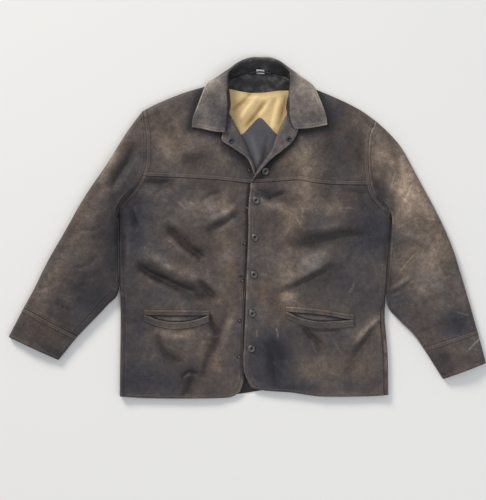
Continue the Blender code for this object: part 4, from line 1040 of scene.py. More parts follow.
def worn_and_shaded(xy):
    """How warm and how light the hide is at each point: the patches added up, each as a turned bell."""
    warm, light = np.zeros(xy.shape[:-1]), np.zeros(xy.shape[:-1])
    shifts = [noise(xy, SLOW, seed) + 0.5 * noise(xy, QUICK, seed + 1) for seed in (3, 5)]
    uneven = xy + WANDER * np.stack(shifts, -1)
    for _, middle, reach, turn, warmth, lightness in WEAR_AND_SHADE_PATCHES:
        c, s = math.cos(math.radians(turn)), math.sin(math.radians(turn))
        d = (uneven - np.array(middle)) @ np.array([[c, -s], [s, c]]) / np.array(reach)
        share = np.exp(-np.sum(d * d, axis=-1))
        warm += warmth * share
        light += lightness * share
    return warm, light


# %% [markdown]
# ## Finer creases
# The solids hold the largest folds. These are the smaller ones that a viewer sees from a step
# away: pulls at the snaps, crumples at the elbow, drags at the armhole. A trough is negative.

# %% Listed creases
CREASES = [
    ("right drag, its edge", [(-257, -78), (-229, -101), (-188, -120), (-142, -141), (-118, -148)], 6, -3.0),
    ("right drag, its lip", [(-246, -104), (-210, -128), (-150, -156)], 8, 1.6),
    ("right drag, its branch", [(-116, -118), (-85, -147), (-62, -166)], 7, -3.0),
    ("right chest drag", [(-191, 10), (-165, -15), (-137, -44), (-96, -73)], 8, -2.6),
    ("right chest drag, its lip", [(-182, -18), (-150, -50), (-112, -78)], 8, 1.2),
    ("right third snap pull", [(-96, -6), (-62, 4), (-16, 38)], 8, -2.6),
    ("right third snap pull, its ridge", [(-92, 14), (-58, 26), (-20, 56)], 9, 1.4),
    ("right yoke slack", [(-108, 60), (-84, 76), (-58, 84)], 7, -1.6),
    ("right pocket end crease", [(-87, -197), (-80, -220), (-66, -242)], 4, -2.4),
    ("right front fall", [(-44, -186), (-62, -234), (-76, -270), (-108, -346)], 8, -1.8),
    ("right front fall, its ridge", [(-30, -190), (-46, -240), (-62, -290)], 9, 1.2),
    ("right hem crumple", [(-152, -344), (-132, -330), (-112, -336)], 5, -2.2),
    ("right hem crumple, second", [(-130, -344), (-144, -388)], 6, -2.0),
    ("right bag edge", [(-212, -246), (-186, -290), (-148, -310)], 7, -1.8),
    ("right bag bulge", [(-215, -236), (-165, -250), (-115, -240)], 10, 1.6),
    ("right underarm crumple", [(-266, 48), (-260, 19), (-249, -4)], 4, -1.6),
    ("right underarm ridge", [(-258, 50), (-250, 22), (-240, -2)], 5, 1.2),
    ("right side line", [(-283, -12), (-282, -50), (-283, -92)], 4, -1.2),
    ("right side ridge", [(-274, 0), (-272, -50), (-274, -110)], 5, 0.9),
    ("right below the yoke seam", [(-234, 109), (-208, 102), (-176, 106)], 6, -1.8),
    ("right yoke drag", [(-200, 250), (-170, 215), (-150, 170)], 14, -1.0),
    ("right yoke hollow", [(-150, 165), (-120, 156), (-96, 168)], 13, -1.6),
    ("left yoke slack", [(18, 84), (53, 68), (93, 84)], 7, -2.6),
    ("left yoke slack, its ridge", [(26, 66), (58, 50), (92, 60)], 9, 1.4),
    ("left yoke slack by the armhole", [(214, 88), (250, 84), (280, 78)], 6, -1.4),
    ("left chest hollow", [(88, -18), (116, -38), (162, -32), (214, -18), (283, -14)], 12, -2.8),
    ("left chest ridge", [(120, -8), (170, -2), (226, 10)], 10, 1.4),
    ("left belly ridge", [(110, -92), (151, -66), (208, -43)], 8, 1.1),
    ("left belly drag", [(58, -153), (116, -130), (174, -101), (204, -76)], 8, -2.8),
    ("left belly drag, second ridge", [(70, -168), (130, -150), (180, -128)], 8, 1.0),
    ("left oil crease", [(50, -262), (46, -290), (54, -318), (60, -350)], 8, -1.3),
    ("left oil crease, second", [(74, -262), (80, -284), (92, -304)], 7, -1.3),
    ("left oil ridge", [(60, -262), (64, -310), (66, -356)], 5, 1.2),
    ("left below pocket", [(128, -227), (150, -250), (176, -270)], 6, -2.2),
    ("left second seam shade", [(112, -224), (164, -237), (226, -232)], 4, -1.2),
    ("left side pull", [(312, -206), (284, -236), (240, -300)], 7, -2.2),
    ("left side pull, ridge", [(317, -196), (275, -232), (246, -268)], 6, 1.2),
    ("left hem ripple", [(226, -300), (236, -340), (228, -386)], 9, -1.0),
    ("left yoke drag", [(165, 270), (190, 220), (196, 165)], 14, -1.2),
    ("left armhole drag", [(268, 215), (258, 175), (262, 130)], 10, -1.0),
    ("left armhole crumple", [(276, 96), (262, 70), (272, 40)], 7, -1.0),
    ("right sleeve head fold", [(-312, 84), (-294, 118), (-272, 152), (-258, 200)], 13, -3.6),
    ("right sleeve head ridge", [(-342, 96), (-318, 140), (-294, 184)], 14, 1.8),
    ("right elbow crumple", [(-330, 6), (-352, -6), (-386, -4)], 6, -0.8),
    ("right elbow crumple, second", [(-340, -60), (-362, -84), (-400, -96)], 6, -0.9),
    ("right elbow crumple, third", [(-384, -28), (-400, -58), (-396, -92)], 6, -0.7),
    ("right forearm fold", [(-330, -96), (-368, -118), (-398, -160)], 9, -1.1),
    ("right forearm crumple", [(-430, -108), (-446, -132), (-440, -166)], 6, -0.9),
    ("right wrist fold", [(-398, -196), (-428, -176), (-470, -170)], 8, -0.9),
    ("right wrist pull", [(-404, -232), (-430, -206), (-452, -198)], 6, -0.9),
    ("left sleeve head fold", [(294, 118), (300, 84), (318, 50)], 6, -1.0),
    ("left sleeve head drag", [(318, 60), (312, 110), (324, 164)], 10, -1.4),
    ("left sleeve drag", [(330, 190), (344, 150), (340, 96)], 9, -1.0),
    ("left sleeve crease", [(345, 0), (388, 20), (428, 20)], 5, -0.9),
    ("left elbow crease", [(342, -40), (372, -30), (430, -52)], 7, -0.9),
    ("left elbow crease, second", [(352, -96), (372, -74), (386, -52)], 5, -0.9),
    ("left forearm crease", [(325, -156), (352, -142), (379, -122)], 5, -1.5),
    ("left forearm ridge", [(322, -146), (348, -130), (374, -110)], 5, 1.2),
    ("left forearm crease, second", [(380, -180), (420, -160), (470, -152)], 8, -1.0),
    ("left wrist crease", [(398, -240), (436, -220), (488, -206)], 6, -1.0),
    ("left cuff crease", [(430, -300), (476, -290), (520, -296)], 9, -0.7),
]


# The noise lies on a square grid, which a turn of the points keeps from showing.
GRID_TURN = np.array([[0.77, 0.64], [-0.64, 0.77]])
# The creases stand twice as high as their list says, so that they read from straight above.
CREASE_GAIN = 2.0


def creased(xy):
    """Height in mm of the small folds, of the hide's slow waves and of thin lines where it has broken."""
    waves = 0.6 * noise(xy, 46, 11) + 0.35 * noise(xy, 19, 12)
    thin_lines = np.maximum(0, 1 - np.abs(noise(xy, 30, 13)) / 0.15)
    broken = 0.4 * thin_lines * (0.5 + 0.5 * noise(xy, 90, 14))
    return CREASE_GAIN * fold_height(CREASES, xy) + waves - broken


# %% [markdown]
# ## Seams
# A lapped seam is thicker by a layer for the width of its allowance, and is held down by two
# rows of stitches. The sheet rises over the lap. The groove, the rubbed ridges and the dark
# line beside it are finer than its points, so the material draws them from the distance. The
# groove and the dark line are painted shade, and the ridges are partly rubbed and partly a painted highlight.

# %% Seam widths
LAP = 8.5
LAP_RISE = 0.9
LAP_SLOPE = 2.5
TURNED = 6.5
TURNED_RISE = 0.5
TURNED_SLOPE = 3
FAR = 30.0
STITCH_ROWS = (1.9, 7.3)
EDGE_ROW = 5.6


def nearest(xy, lines):
    """Distance in mm to the nearest of some lines, up to FAR."""
    best = np.full(xy.shape[:-1], FAR)
    for line in lines:
        best = np.minimum(best, away_from(xy, line))
    return best


def turned_edge(edge):
    """Height in mm of an edge that is turned under: flat for its width, and then sloping down."""
    return TURNED_RISE * (1 - ease((edge - TURNED) / TURNED_SLOPE))


def layered(seam, edge):
    """Height in mm of a lap beside a seam and of a turned edge."""
    return LAP_RISE * (1 - ease((seam - LAP) / LAP_SLOPE)) + turned_edge(edge)


# %% [markdown]
# ## Stitches
# Topstitching is a row of short thread lengths, each dipping into the leather at its ends.
# One small spindle with sixteen points is copied along a path, all in one array, so all the
# stitches are a single mesh.

# %% Stitch rows
STITCH = 3.6
STITCH_GAP = 0.9
THREAD = 0.42
STITCH_LIFT = 0.12
ROW_END = 2.0
# Stitches lower than this, in mm, or on a face that looks down as much as this, stay out.
LOWEST_STITCH = 1.5
LOWEST_LOOK = -0.2
STITCH_PATHS = []


def inside(grid, inward, edge, distance):
    """A line on the face at a distance from one of its edges, and the way out of the face along it."""
    if edge in ("first row", "last row"):
        grid, inward = np.swapaxes(grid, 0, 1), np.swapaxes(inward, 0, 1)
    if edge.startswith("last"):
        grid, inward = grid[:, ::-1], inward[:, ::-1]
    steps = np.linalg.norm(np.diff(grid, axis=1), axis=-1)
    along = np.hstack([np.zeros((len(grid), 1)), np.cumsum(steps, axis=1)])
    k = np.clip((along < distance).sum(axis=1) - 1, 0, grid.shape[1] - 2)
    row = np.arange(len(grid))
    t = ((distance - along[row, k]) / np.maximum(steps[row, k], 1e-6))[:, None]
    path = grid[row, k] * (1 - t) + grid[row, k + 1] * t
    return path, -inward[row, k]


def stitch_along(face, edge, distance, rows=slice(None), columns=slice(None)):
    """Keeps a path for the stitches, beside an edge of a face, or of the given rows and columns of it."""
    grid, inward = (values[rows, columns] for values in face)
    STITCH_PATHS.append(inside(grid, inward, edge, distance))


def stitch_mesh(name, material):
    """Spindles along the kept paths: four rings of four points, the end ones thin and pulled down."""
    centres, tangents, ups = [], [], []
    for path, up in STITCH_PATHS:
        steps = np.linalg.norm(np.diff(path, axis=0), axis=1)
        along = np.concatenate([[0], np.cumsum(steps)])
        at = np.arange(ROW_END, along[-1] - ROW_END, STITCH + STITCH_GAP)
        before, after = at - STITCH / 2, at + STITCH / 2
        point = [np.stack([np.interp(x, along, axis) for axis in path.T], -1) for x in (before, at, after)]
        centres.append((point[0] + 2 * point[1] + point[2]) / 4)
        tangents.append(point[2] - point[0])
        ups.append(np.stack([np.interp(at, along, axis) for axis in up.T], -1))
        shown = (point[1][:, 2] > LOWEST_STITCH) & (ups[-1][:, 2] > LOWEST_LOOK)
        centres[-1], tangents[-1], ups[-1] = centres[-1][shown], tangents[-1][shown], ups[-1][shown]
    centre, along, up = np.concatenate(centres), np.concatenate(tangents), np.concatenate(ups)
    along /= np.maximum(np.linalg.norm(along, axis=1, keepdims=True), 1e-6)
    up -= along * np.sum(along * up, axis=1, keepdims=True)
    up /= np.maximum(np.linalg.norm(up, axis=1, keepdims=True), 1e-6)
    side = np.cross(along, up)
    shape = np.array([(e * STITCH / 2, r * c, r * s - d)
                      for e, r, d in ((-1, 0.4, 0.25), (-0.55, 1, 0), (0.55, 1, 0), (1, 0.4, 0.25))
                      for c, s in ((THREAD, 0), (0, THREAD), (-THREAD, 0), (0, -THREAD))])
    points = (centre[:, None] + along[:, None] * shape[None, :, :1] + side[:, None] * shape[None, :, 1:2]
              + up[:, None] * (shape[None, :, 2:] + STITCH_LIFT))
    faces = []
    for ring in range(3):
        for k in range(4):
            a, b = ring * 4 + k, ring * 4 + (k + 1) % 4
            faces.append((a, b, b + 4, a + 4))
    faces += [(3, 2, 1, 0), (12, 13, 14, 15)]
    faces = (np.array(faces)[None] + 16 * np.arange(len(centre))[:, None, None]).reshape(-1, 4)
    piece = object_of(name, points.reshape(-1, 3), faces, material)
    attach(piece, "root")
    print(name, len(centre), "stitches")
    return piece


# %% [markdown]
# ## Colours and nodes
# Colours are written as sRGB hex values, as a painter's chart gives them, and turned to
# linear light. Small functions add the nodes, so that a material reads as a recipe.

# %% Colour and node helpers
def linear(code):
    """Linear red, green, blue and alpha from an sRGB hex value."""
    values = [int(code[i : i + 2], 16) / 255 for i in (1, 3, 5)]
    return (*[v / 12.92 if v <= 0.04045 else ((v + 0.055) / 1.055) ** 2.4 for v in values], 1.0)


def add(tree, kind, links=None, **settings):
    """Adds one node: settings by name, or by input name, and links as input name to an output."""
    node = tree.nodes.new(kind)
    for key, value in settings.items():
        if hasattr(node, key):
            setattr(node, key, value)
        else:
            node.inputs[key.replace("_", " ")].default_value = value
    for key, source in (links or {}).items():
        tree.links.new(source, node.inputs[key])
    return node


def new_material(name):
    """An empty material, its node tree and the place of each point in metres."""
    material = bpy.data.materials.new(name)
    material.use_nodes = True
    tree = material.node_tree
    tree.nodes.clear()
    return material, tree, add(tree, "ShaderNodeTexCoord").outputs["Object"]


def ramp(tree, source, stops):
    """Colours by the source's value, each stop a value and an sRGB hex code."""
    node = add(tree, "ShaderNodeValToRGB", {"Fac": source})
    elements = node.color_ramp.elements
    for element, (place, code) in zip(list(elements), (stops[0], stops[-1])):
        element.position, element.color = place, linear(code)
    for place, code in stops[1:-1]:
        elements.new(place).color = linear(code)
    return node.outputs["Color"]


def stored(tree, name):
    """A number that the mesh holds at each point."""
    return add(tree, "ShaderNodeAttribute", attribute_name=name).outputs["Fac"]


def cloud(tree, place, size_mm, detail, rough, distortion=0.0):
    """Soft noise whose largest forms are about size_mm across."""
    return add(tree, "ShaderNodeTexNoise", {"Vector": place}, Scale=1000 / size_mm, Detail=detail,
               Roughness=rough, Distortion=distortion).outputs["Fac"]


def scaled(tree, source, low, high, **settings):
    """The source's value, counted from low to high."""
    return add(tree, "ShaderNodeMapRange", {"Value": source}, From_Min=low, From_Max=high,
               **settings).outputs[0]


def surface(tree, inputs, **settings):
    """The surface shader and the output, which end each material."""
    shader = add(tree, "ShaderNodeBsdfPrincipled", inputs, **settings)
    add(tree, "ShaderNodeOutputMaterial", {"Surface": shader.outputs[0]})


# How rubbed and how high the hide is at each distance in mm from a lapped seam and from a turned edge. The
# dark dips in the wear tables are painted shade, in the seam's groove, in the stitch grooves and beside the
# lap's edge, and the seam's pale ridges are partly rubbed wear and partly painted highlight.
SEAM_WEAR_AND_SHADE = [(0, 0.0), (0.5, 0.15), (1.1, 0.78), (1.6, 0.66), (1.9, 0.4), (2.4, 0.66), (4.5, 0.56),
             (6.8, 0.6),
             (7.3, 0.34), (7.9, 0.72), (8.6, 0.6), (9.4, 0.22), (10.8, 0.44), (12, 0.5)]
SEAM_HEIGHT = [(0, 0.0), (0.9, 0.9), (1.5, 0.9), (1.9, 0.45), (2.4, 0.9), (4.5, 1.0), (6.8, 0.9), (7.3, 0.45),
               (7.8, 0.9), (8.5, 0.85), (9.4, 0.35), (12, 0.4)]
EDGE_WEAR_AND_SHADE = [(0, 0.9), (1.2, 0.82), (2.6, 0.6), (4.8, 0.54), (5.3, 0.28), (5.9, 0.28), (6.5, 0.6),
             (8.0, 0.58),
             (10, 0.5)]
EDGE_HEIGHT = [(0, 0.2), (1.6, 0.9), (3.4, 1.0), (5.0, 0.75), (5.6, 0.35), (6.2, 0.7), (8.0, 0.75), (10, 0.6)]


def profile(tree, distance, stops):
    """A value at each distance in mm, straight between its stops."""
    reach = stops[-1][0]
    share = add(tree, "ShaderNodeMath", {0: distance}, operation="DIVIDE")
    share.inputs[1].default_value = reach
    node = add(tree, "ShaderNodeValToRGB", {"Fac": share.outputs[0]})
    for number, (place, value) in enumerate(stops):
        elements = node.color_ramp.elements
        stop = elements[number] if number < 2 else elements.new(place / reach)
        stop.position, stop.color = place / reach, (value, value, value, 1)
    return node.outputs["Color"]


def sum_of(tree, *terms):
    """Adds up outputs, each times its factor."""
    total = None
    for source, factor in terms:
        links = {0: source} if total is None else {0: source, 2: total}
        node = add(tree, "ShaderNodeMath", links, operation="MULTIPLY_ADD")
        node.inputs[1].default_value = factor
        if total is None:
            node.inputs[2].default_value = 0.0
        total = node.outputs[0]
    return total


# %% [markdown]
# ## The hide
# Oiled nubuck: the grain side of cowhide sanded to a short nap, dyed through in part and
# dressed with oil. It is matt, its nap scatters light softly, and handling polishes and
# bleaches it. Close up it shows a nap about 1 mm across and a grain about 2 mm across.

# %% Oiled nubuck
# From the darkest to the palest: where the dye has gone, where it has held, and the collar's own.
RUBBED = [(0.0, "#1d1918"), (0.2, "#362c29"), (0.4, "#4d413a"), (0.55, "#615449"), (0.7, "#7d6d5f"),
          (0.85, "#a08c7d"),
          (1.0, "#c4ad97")]
DYED = [(0.0, "#16171d"), (0.2, "#2c2a32"), (0.4, "#3e3c41"), (0.55, "#514d50"), (0.7, "#6a6767"),
        (0.85, "#87817c"),
        (1.0, "#aaa198")]
COLLAR_RUBBED = [(0.0, "#17161a"), (0.25, "#343236"), (0.5, "#575150"), (0.75, "#81776f"), (1.0, "#b8ac9e")]


# How much each noise and each seam counts in the hide's lightness. Each is about one half on average.
BLOTCH, MOTTLE, NAP, BY_SEAM, BY_EDGE = 0.6, 0.66, 0.64, 0.6, 0.6
# Each scratch is a line of noise drawn out in one direction: the turn of that direction and its strength.
SCRATCHES = [(0.7, 0.15), (2.2, 0.12), (1.35, 0.1)]
SCRATCH_SCALE = (17, 400, 17)
GRAIN_MM = 2.4


def hide_material(name, rubbed_stops, dyed_stops, base, roughness=0.5):
    """Worn hide: its lightness is a sum of what the mesh holds and noises, on two scales of colour."""
    material, tree, place = new_material(name)
    warm, light, fold, seam, edge, scuff = (
        stored(tree, key) for key in ("warm", "light", "fold", "seam", "edge", "scuff")
    )
    # The seam and edge profiles hold painted shade in their grooves and beside the lap.
    seam_wear_and_shade, seam_high = profile(tree, seam, SEAM_WEAR_AND_SHADE), profile(tree, seam, SEAM_HEIGHT)
    edge_wear_and_shade, edge_high = profile(tree, edge, EDGE_WEAR_AND_SHADE), profile(tree, edge, EDGE_HEIGHT)
    blotch, second = cloud(tree, place, 62, 5.0, 0.58, 0.6), cloud(tree, place, 95, 4.0, 0.6, 0.4)
    mottle, wrinkle = cloud(tree, place, 11, 6.0, 0.72, 0.4), cloud(tree, place, 7, 3.0, 0.55, 1.2)
    nap = cloud(tree, place, 1.3, 3.0, 0.6)
    grain = add(tree, "ShaderNodeTexVoronoi", {"Vector": place}, Scale=1000 / GRAIN_MM,
                feature="DISTANCE_TO_EDGE").outputs["Distance"]
    # Of the drawn-out noise only the highest lines are kept.
    scratches = []
    for turn, strength in SCRATCHES:
        turned = add(tree, "ShaderNodeMapping", {"Vector": place}, Rotation=(0, 0, turn))
        along = add(tree, "ShaderNodeMapping", {"Vector": turned.outputs[0]}, Scale=SCRATCH_SCALE)
        lines = cloud(tree, along.outputs[0], 1000, 2.0, 0.5, 0.3)
        scratches.append((scaled(tree, lines, 0.68, 0.77), strength))
    specks = scaled(tree, cloud(tree, place, 3.2, 2.0, 0.5), 0.74, 0.80)
    # The fold value darkens the troughs as painted shade and lightens the ridges, partly as rubbed wear and
    # partly as painted highlight.
    shade = sum_of(tree, (warm, 0.10), (light, 0.56), (blotch, BLOTCH), (mottle, MOTTLE), (nap, NAP),
                   (fold, 0.42), (seam_wear_and_shade, BY_SEAM), (edge_wear_and_shade, BY_EDGE), *scratches,
                   (specks, 0.2), (scuff, 0.45))
    level = add(tree, "ShaderNodeMath", {0: shade}, operation="ADD")
    level.inputs[1].default_value = base - 0.5 * (BLOTCH + MOTTLE + NAP + BY_SEAM + BY_EDGE)
    # The dye changes the hue apart from the lightness, so two scales of colour are mixed.
    dye = scaled(tree, sum_of(tree, (warm, -0.75), (second, 2.2), (mottle, 0.5)), 0.85, 2.05)
    colour = add(tree, "ShaderNodeMix", {
        "Factor": dye,
        6: ramp(tree, level.outputs[0], rubbed_stops),
        7: ramp(tree, level.outputs[0], dyed_stops),
    }, data_type="RGBA")
    height = sum_of(tree, (nap, 0.16), (grain, 0.25), (mottle, 0.9), (wrinkle, 0.8),
                    (scratches[0][0], 0.1), (seam_high, 1.5), (edge_high, 1.2))
    bump = add(tree, "ShaderNodeBump", {"Height": height}, Strength=0.9, Distance=MM)
    shine = scaled(tree, mottle, 0.3, 0.7, To_Min=roughness - 0.07, To_Max=roughness + 0.12)
    surface(tree, {"Base Color": colour.outputs[2], "Roughness": shine, "Normal": bump.outputs[0]},
            IOR=1.45, Sheen_Weight=0.06, Sheen_Roughness=0.5)
    return material


nubuck = hide_material("oiled_nubuck", RUBBED, DYED, 0.405)
collar_leather = hide_material("rubbed_collar_nubuck", COLLAR_RUBBED, COLLAR_RUBBED, 0.58)
facing_leather = hide_material("facing_nubuck", COLLAR_RUBBED, COLLAR_RUBBED, 0.44, 0.48)
neck_leather = hide_material("neck_leather", COLLAR_RUBBED, COLLAR_RUBBED, 0.10, 0.42)
# The pocket bag's leather is drawn dark, partly for its own colour and partly as painted shade inside the
# pocket's mouth.
bag_leather = hide_material("pocket_leather", COLLAR_RUBBED, COLLAR_RUBBED, 0.24, 0.6)

# %% [markdown]
# ## Lining, thread and metal
# The yoke lining is brushed cotton, plain woven with threads about 0.4 mm apart, drawn at
# 1 mm so that they show. The lower lining is dark wool. The thread is waxed. The snaps are
# plated gunmetal, worn bright on their rims. What they are made of is a guess from their looks.

# %% Cloths
# At a scale of 1 the bands of a wave texture are this far apart, in metres.
WAVE = 0.314


def woven_material(name, dark, pale, thread=0.0010, roughness=0.88):
    """Plain weave: waves across and along, with stains and fluff on them."""
    material, tree, place = new_material(name)
    stain, fluff = cloud(tree, place, 45, 5.0, 0.6), cloud(tree, place, 3, 4.0, 0.7)
    warp, weft = (
        add(tree, "ShaderNodeTexWave", {"Vector": place}, bands_direction=direction, Scale=WAVE / thread,
            Distortion=0.6).outputs["Fac"]
        for direction in "XY"
    )
    # The fold value is painted shade in the hollows and a painted highlight on the folds.
    level = sum_of(tree, (stain, 0.6), (fluff, 0.45), (warp, 0.06), (weft, 0.06),
                   (stored(tree, "fold"), 0.45))
    level = add(tree, "ShaderNodeMath", {0: level}, operation="SUBTRACT").outputs[0]
    level.node.inputs[1].default_value = 0.12
    colour = ramp(tree, level, [(0.0, dark), (0.75, pale)])
    height = sum_of(tree, (warp, 0.5), (weft, 0.5), (fluff, 0.8))
    bump = add(tree, "ShaderNodeBump", {"Height": height}, Strength=0.4, Distance=0.0003)
    surface(tree, {"Base Color": colour, "Normal": bump.outputs[0]},
            Roughness=roughness, IOR=1.45, Sheen_Weight=0.25, Sheen_Roughness=0.6)
    return material


cotton = woven_material("brushed_cotton", "#8a6835", "#efd29b")
wool = woven_material("wool_lining", "#111013", "#5f5e64", thread=0.0014)
satin = woven_material("label_satin", "#b8b5ac", "#efeeea", thread=0.0008, roughness=0.5)
thread_cord = woven_material("waxed_thread", "#4a423c", "#8d8175", thread=0.0006, roughness=0.6)


# %% Snap metal
def metal_material(name, dark, worn):
    """Tarnished metal, brighter where the rim has been rubbed."""
    material, tree, place = new_material(name)
    tarnish = cloud(tree, place, 4, 5.0, 0.65)
    level = sum_of(tree, (tarnish, 0.7), (stored(tree, "rim"), 0.55))
    colour = ramp(tree, level, [(0.25, dark), (0.95, worn)])
    rough = scaled(tree, tarnish, 0, 1, To_Min=0.28, To_Max=0.55)
    surface(tree, {"Base Color": colour, "Roughness": rough}, Metallic=0.9)
    return material


gunmetal = metal_material("worn_gunmetal", "#111112", "#716f6c")
socket_metal = metal_material("blued_socket_metal", "#121418", "#4a525c")

# %% [markdown]
# ## Finer grids
# The solids have points some 20 mm apart, the sheets need them 3 mm apart. A smooth curve
# through the solids' own points keeps every sheet on its solid, which a subdivision surface
# would not: it would shrink away from it.

# %% Finer grids
def hermite(values, knots, at):
    """A smooth curve through values at knots. A slope is the mean of two steps, the nearer one first."""
    shape = (-1,) + (1,) * (values.ndim - 1)
    steps = np.diff(knots).reshape(shape)
    slopes = np.diff(values, axis=0) / steps
    inner = (steps[1:] * slopes[:-1] + steps[:-1] * slopes[1:]) / (steps[1:] + steps[:-1])
    slope = np.concatenate([slopes[:1], inner, slopes[-1:]])
    k = np.clip(np.searchsorted(knots, at, side="right") - 1, 0, len(knots) - 2)
    h = steps[k]
    t = (at - knots[k]).reshape(shape) / h
    start = (1 + 2 * t) * (1 - t) ** 2 * values[k] + t * (1 - t) ** 2 * h * slope[k]
    return start + t * t * (3 - 2 * t) * values[k + 1] + t * t * (t - 1) * h * slope[k + 1]


def refined(grid, inward, step, closed=False):
    """The grid and its inward vectors with points about a step apart, and the cells made of each old one."""
    both = np.concatenate([grid, inward], axis=-1)
    if closed:
        both = np.hstack([both, both[:, :1]])
    counts = []
    for axis in (0, 1):
        both = np.swapaxes(both, 0, axis)
        chords = np.linalg.norm(np.diff(both[..., :3], axis=0), axis=-1).mean(axis=1)
        knots = np.concatenate([[0], np.cumsum(chords)])
        cells = np.maximum(np.ceil(chords / step), 1).astype(int)
        at = [np.linspace(a, b, n, endpoint=False) for a, b, n in zip(knots[:-1], knots[1:], cells)]
        both = np.swapaxes(hermite(both, knots, np.concatenate(at + [knots[-1:]])), 0, axis)
        counts.append(cells)
    if closed:
        both = both[:, :-1]
    inward = both[..., 3:] / np.maximum(np.linalg.norm(both[..., 3:], axis=-1, keepdims=True), 1e-9)
    return both[..., :3], inward, counts


def tucked(grid, inward, last=True, reach=3.2, drop=1.4):
    """Two more rows beyond the last or the first one, a step down under the piece beside it."""
    if not last:
        grid, inward = tucked(grid[::-1], inward[::-1], reach=reach, drop=drop)
        return grid[::-1], inward[::-1]
    out = grid[-1] - grid[-2]
    out = out / np.maximum(np.linalg.norm(out, axis=-1, keepdims=True), 1e-9)
    down = inward[-1] * drop
    rows = [grid[-1] + out * 0.3 + down, grid[-1] + out * reach + down]
    return np.concatenate([grid, rows]), np.concatenate([inward, inward[-1:], inward[-1:]])


# %% [markdown]
# ## Leather panels
# Each panel is refined, raised by its creases and laps, painted and laid. The creases only
# lift what faces up, because what touches the floor is pressed flat.

# %% Leather panels
# How far apart the points are on the panels, on the lapels and the collar, on the cuffs, and on
# the back and the plain fronts that the welts lie on.
STEP = 3.2
LAPEL_STEP = 2.6
CUFF_STEP = 2.8
BACK_STEP = 6.0
# Heights in mm at which a crease and a large fold are painted in full, as painted shade in their troughs and
# a lighter tone on their ridges, and how much warmer the painted shade of a trough is.
FULL_CREASE = 3
FULL_FOLD = 6
TROUGH_SHADE_WARMTH = 0.8


def facing_up(inward):
    """1 where the outer face looks up, 0 where it looks down, and between on the rounded edges."""
    return np.clip(-1.3 * inward[..., 2], 0, 1)


def straight_down(grid):
    """Inward vectors of a sheet that lies flat."""
    return np.broadcast_to([0.0, 0.0, -1.0], grid.shape)


def spaced(line, every=8):
    """Points of a smooth line, enough of them to measure distances from."""
    return line.dense[::every]


def leather_paint(grid, seam=None, edge=None, folds=()):
    """The numbers that the hide material reads, at each point. Without a seam or an edge it is far away."""
    xy = grid[..., :2]
    far = np.full(xy.shape[:2], FAR)
    seam, edge = far if seam is None else seam, far if edge is None else edge
    warm, light = worn_and_shaded(xy)
    fold = np.clip(fold_height(CREASES, xy) / FULL_CREASE + fold_height(folds, xy) / FULL_FOLD, -1, 1)
    # The troughs' painted shade is also made warmer in hue.
    warm = warm + TROUGH_SHADE_WARMTH * np.maximum(-fold, 0)
    return {"warm": warm, "light": light, "fold": fold, "seam": seam, "edge": edge, "scuff": scuffed(xy)}


def panel(name, grid, inward, flat, node, seams=(), edges=(), folds=(), closed=False, kept=None,
          raised=True, calm=1.0, front_edge=None, shade=0.0):
    """One leather panel as a finished sheet. It returns the raised grid and its inward vectors."""
    xy = grid[..., :2]
    seam, edge = nearest(xy, seams), nearest(xy, edges)
    if front_edge is not None:
        # The stitches along the front stand further in, so the drawn edge is widened to match.
        edge = np.minimum(edge, nearest(xy, [front_edge]) * EDGE_ROW / FRONT_ROW)
    outer = grid
    if raised:
        height = (creased(xy) * calm + layered(seam, edge)) * facing_up(inward)
        outer = grid - inward * height[..., None]
    paint = leather_paint(outer, seam, edge, folds)
    paint["light"] = paint["light"] - shade
    laid_sheet(name, outer, inward, LEATHER, nubuck, paint, "oiled nubuck", flat, node,
               closed=closed, kept=kept)
    return outer, inward


# %% Both fronts and yokes
def repeated(mask, counts):
    """A mask of the old cells, for the finer ones."""
    return np.repeat(np.repeat(mask, counts[0], axis=0), counts[1], axis=1)


# Where the collar's and the lapels' edges lie on the yokes.
COLLAR_EDGES = {
    "right": [(-95, 325), (-110, 290), (-128, 232), (-90, 224), (-54, 214), (-46, 184), (-2, 158), (19, 128)],
    "left": [(151, 325), (166, 300), (186, 238), (150, 228), (112, 222), (104, 194), (58, 160), (21, 118)],
}
FRONT_ROW = 8.5
# Widths in mm and strengths of the painted shade on the panels: in the gap beside the left front's edge,
# along the collar's and the lapels' edges, and on the back in the fronts' gap at the hem.
GAP_WIDTH, GAP_SHADE = 5.0, 2.0
COLLAR_SHADOW_WIDTH, COLLAR_SHADOW_STRENGTH = 13.0, 0.95
HEM_GAP, HEM_GAP_WIDTH, HEM_GAP_SHADE = (-4, -376), 30.0, 1.6
# Within this distance of the roll the yokes' creases fade out.
CALM = 30

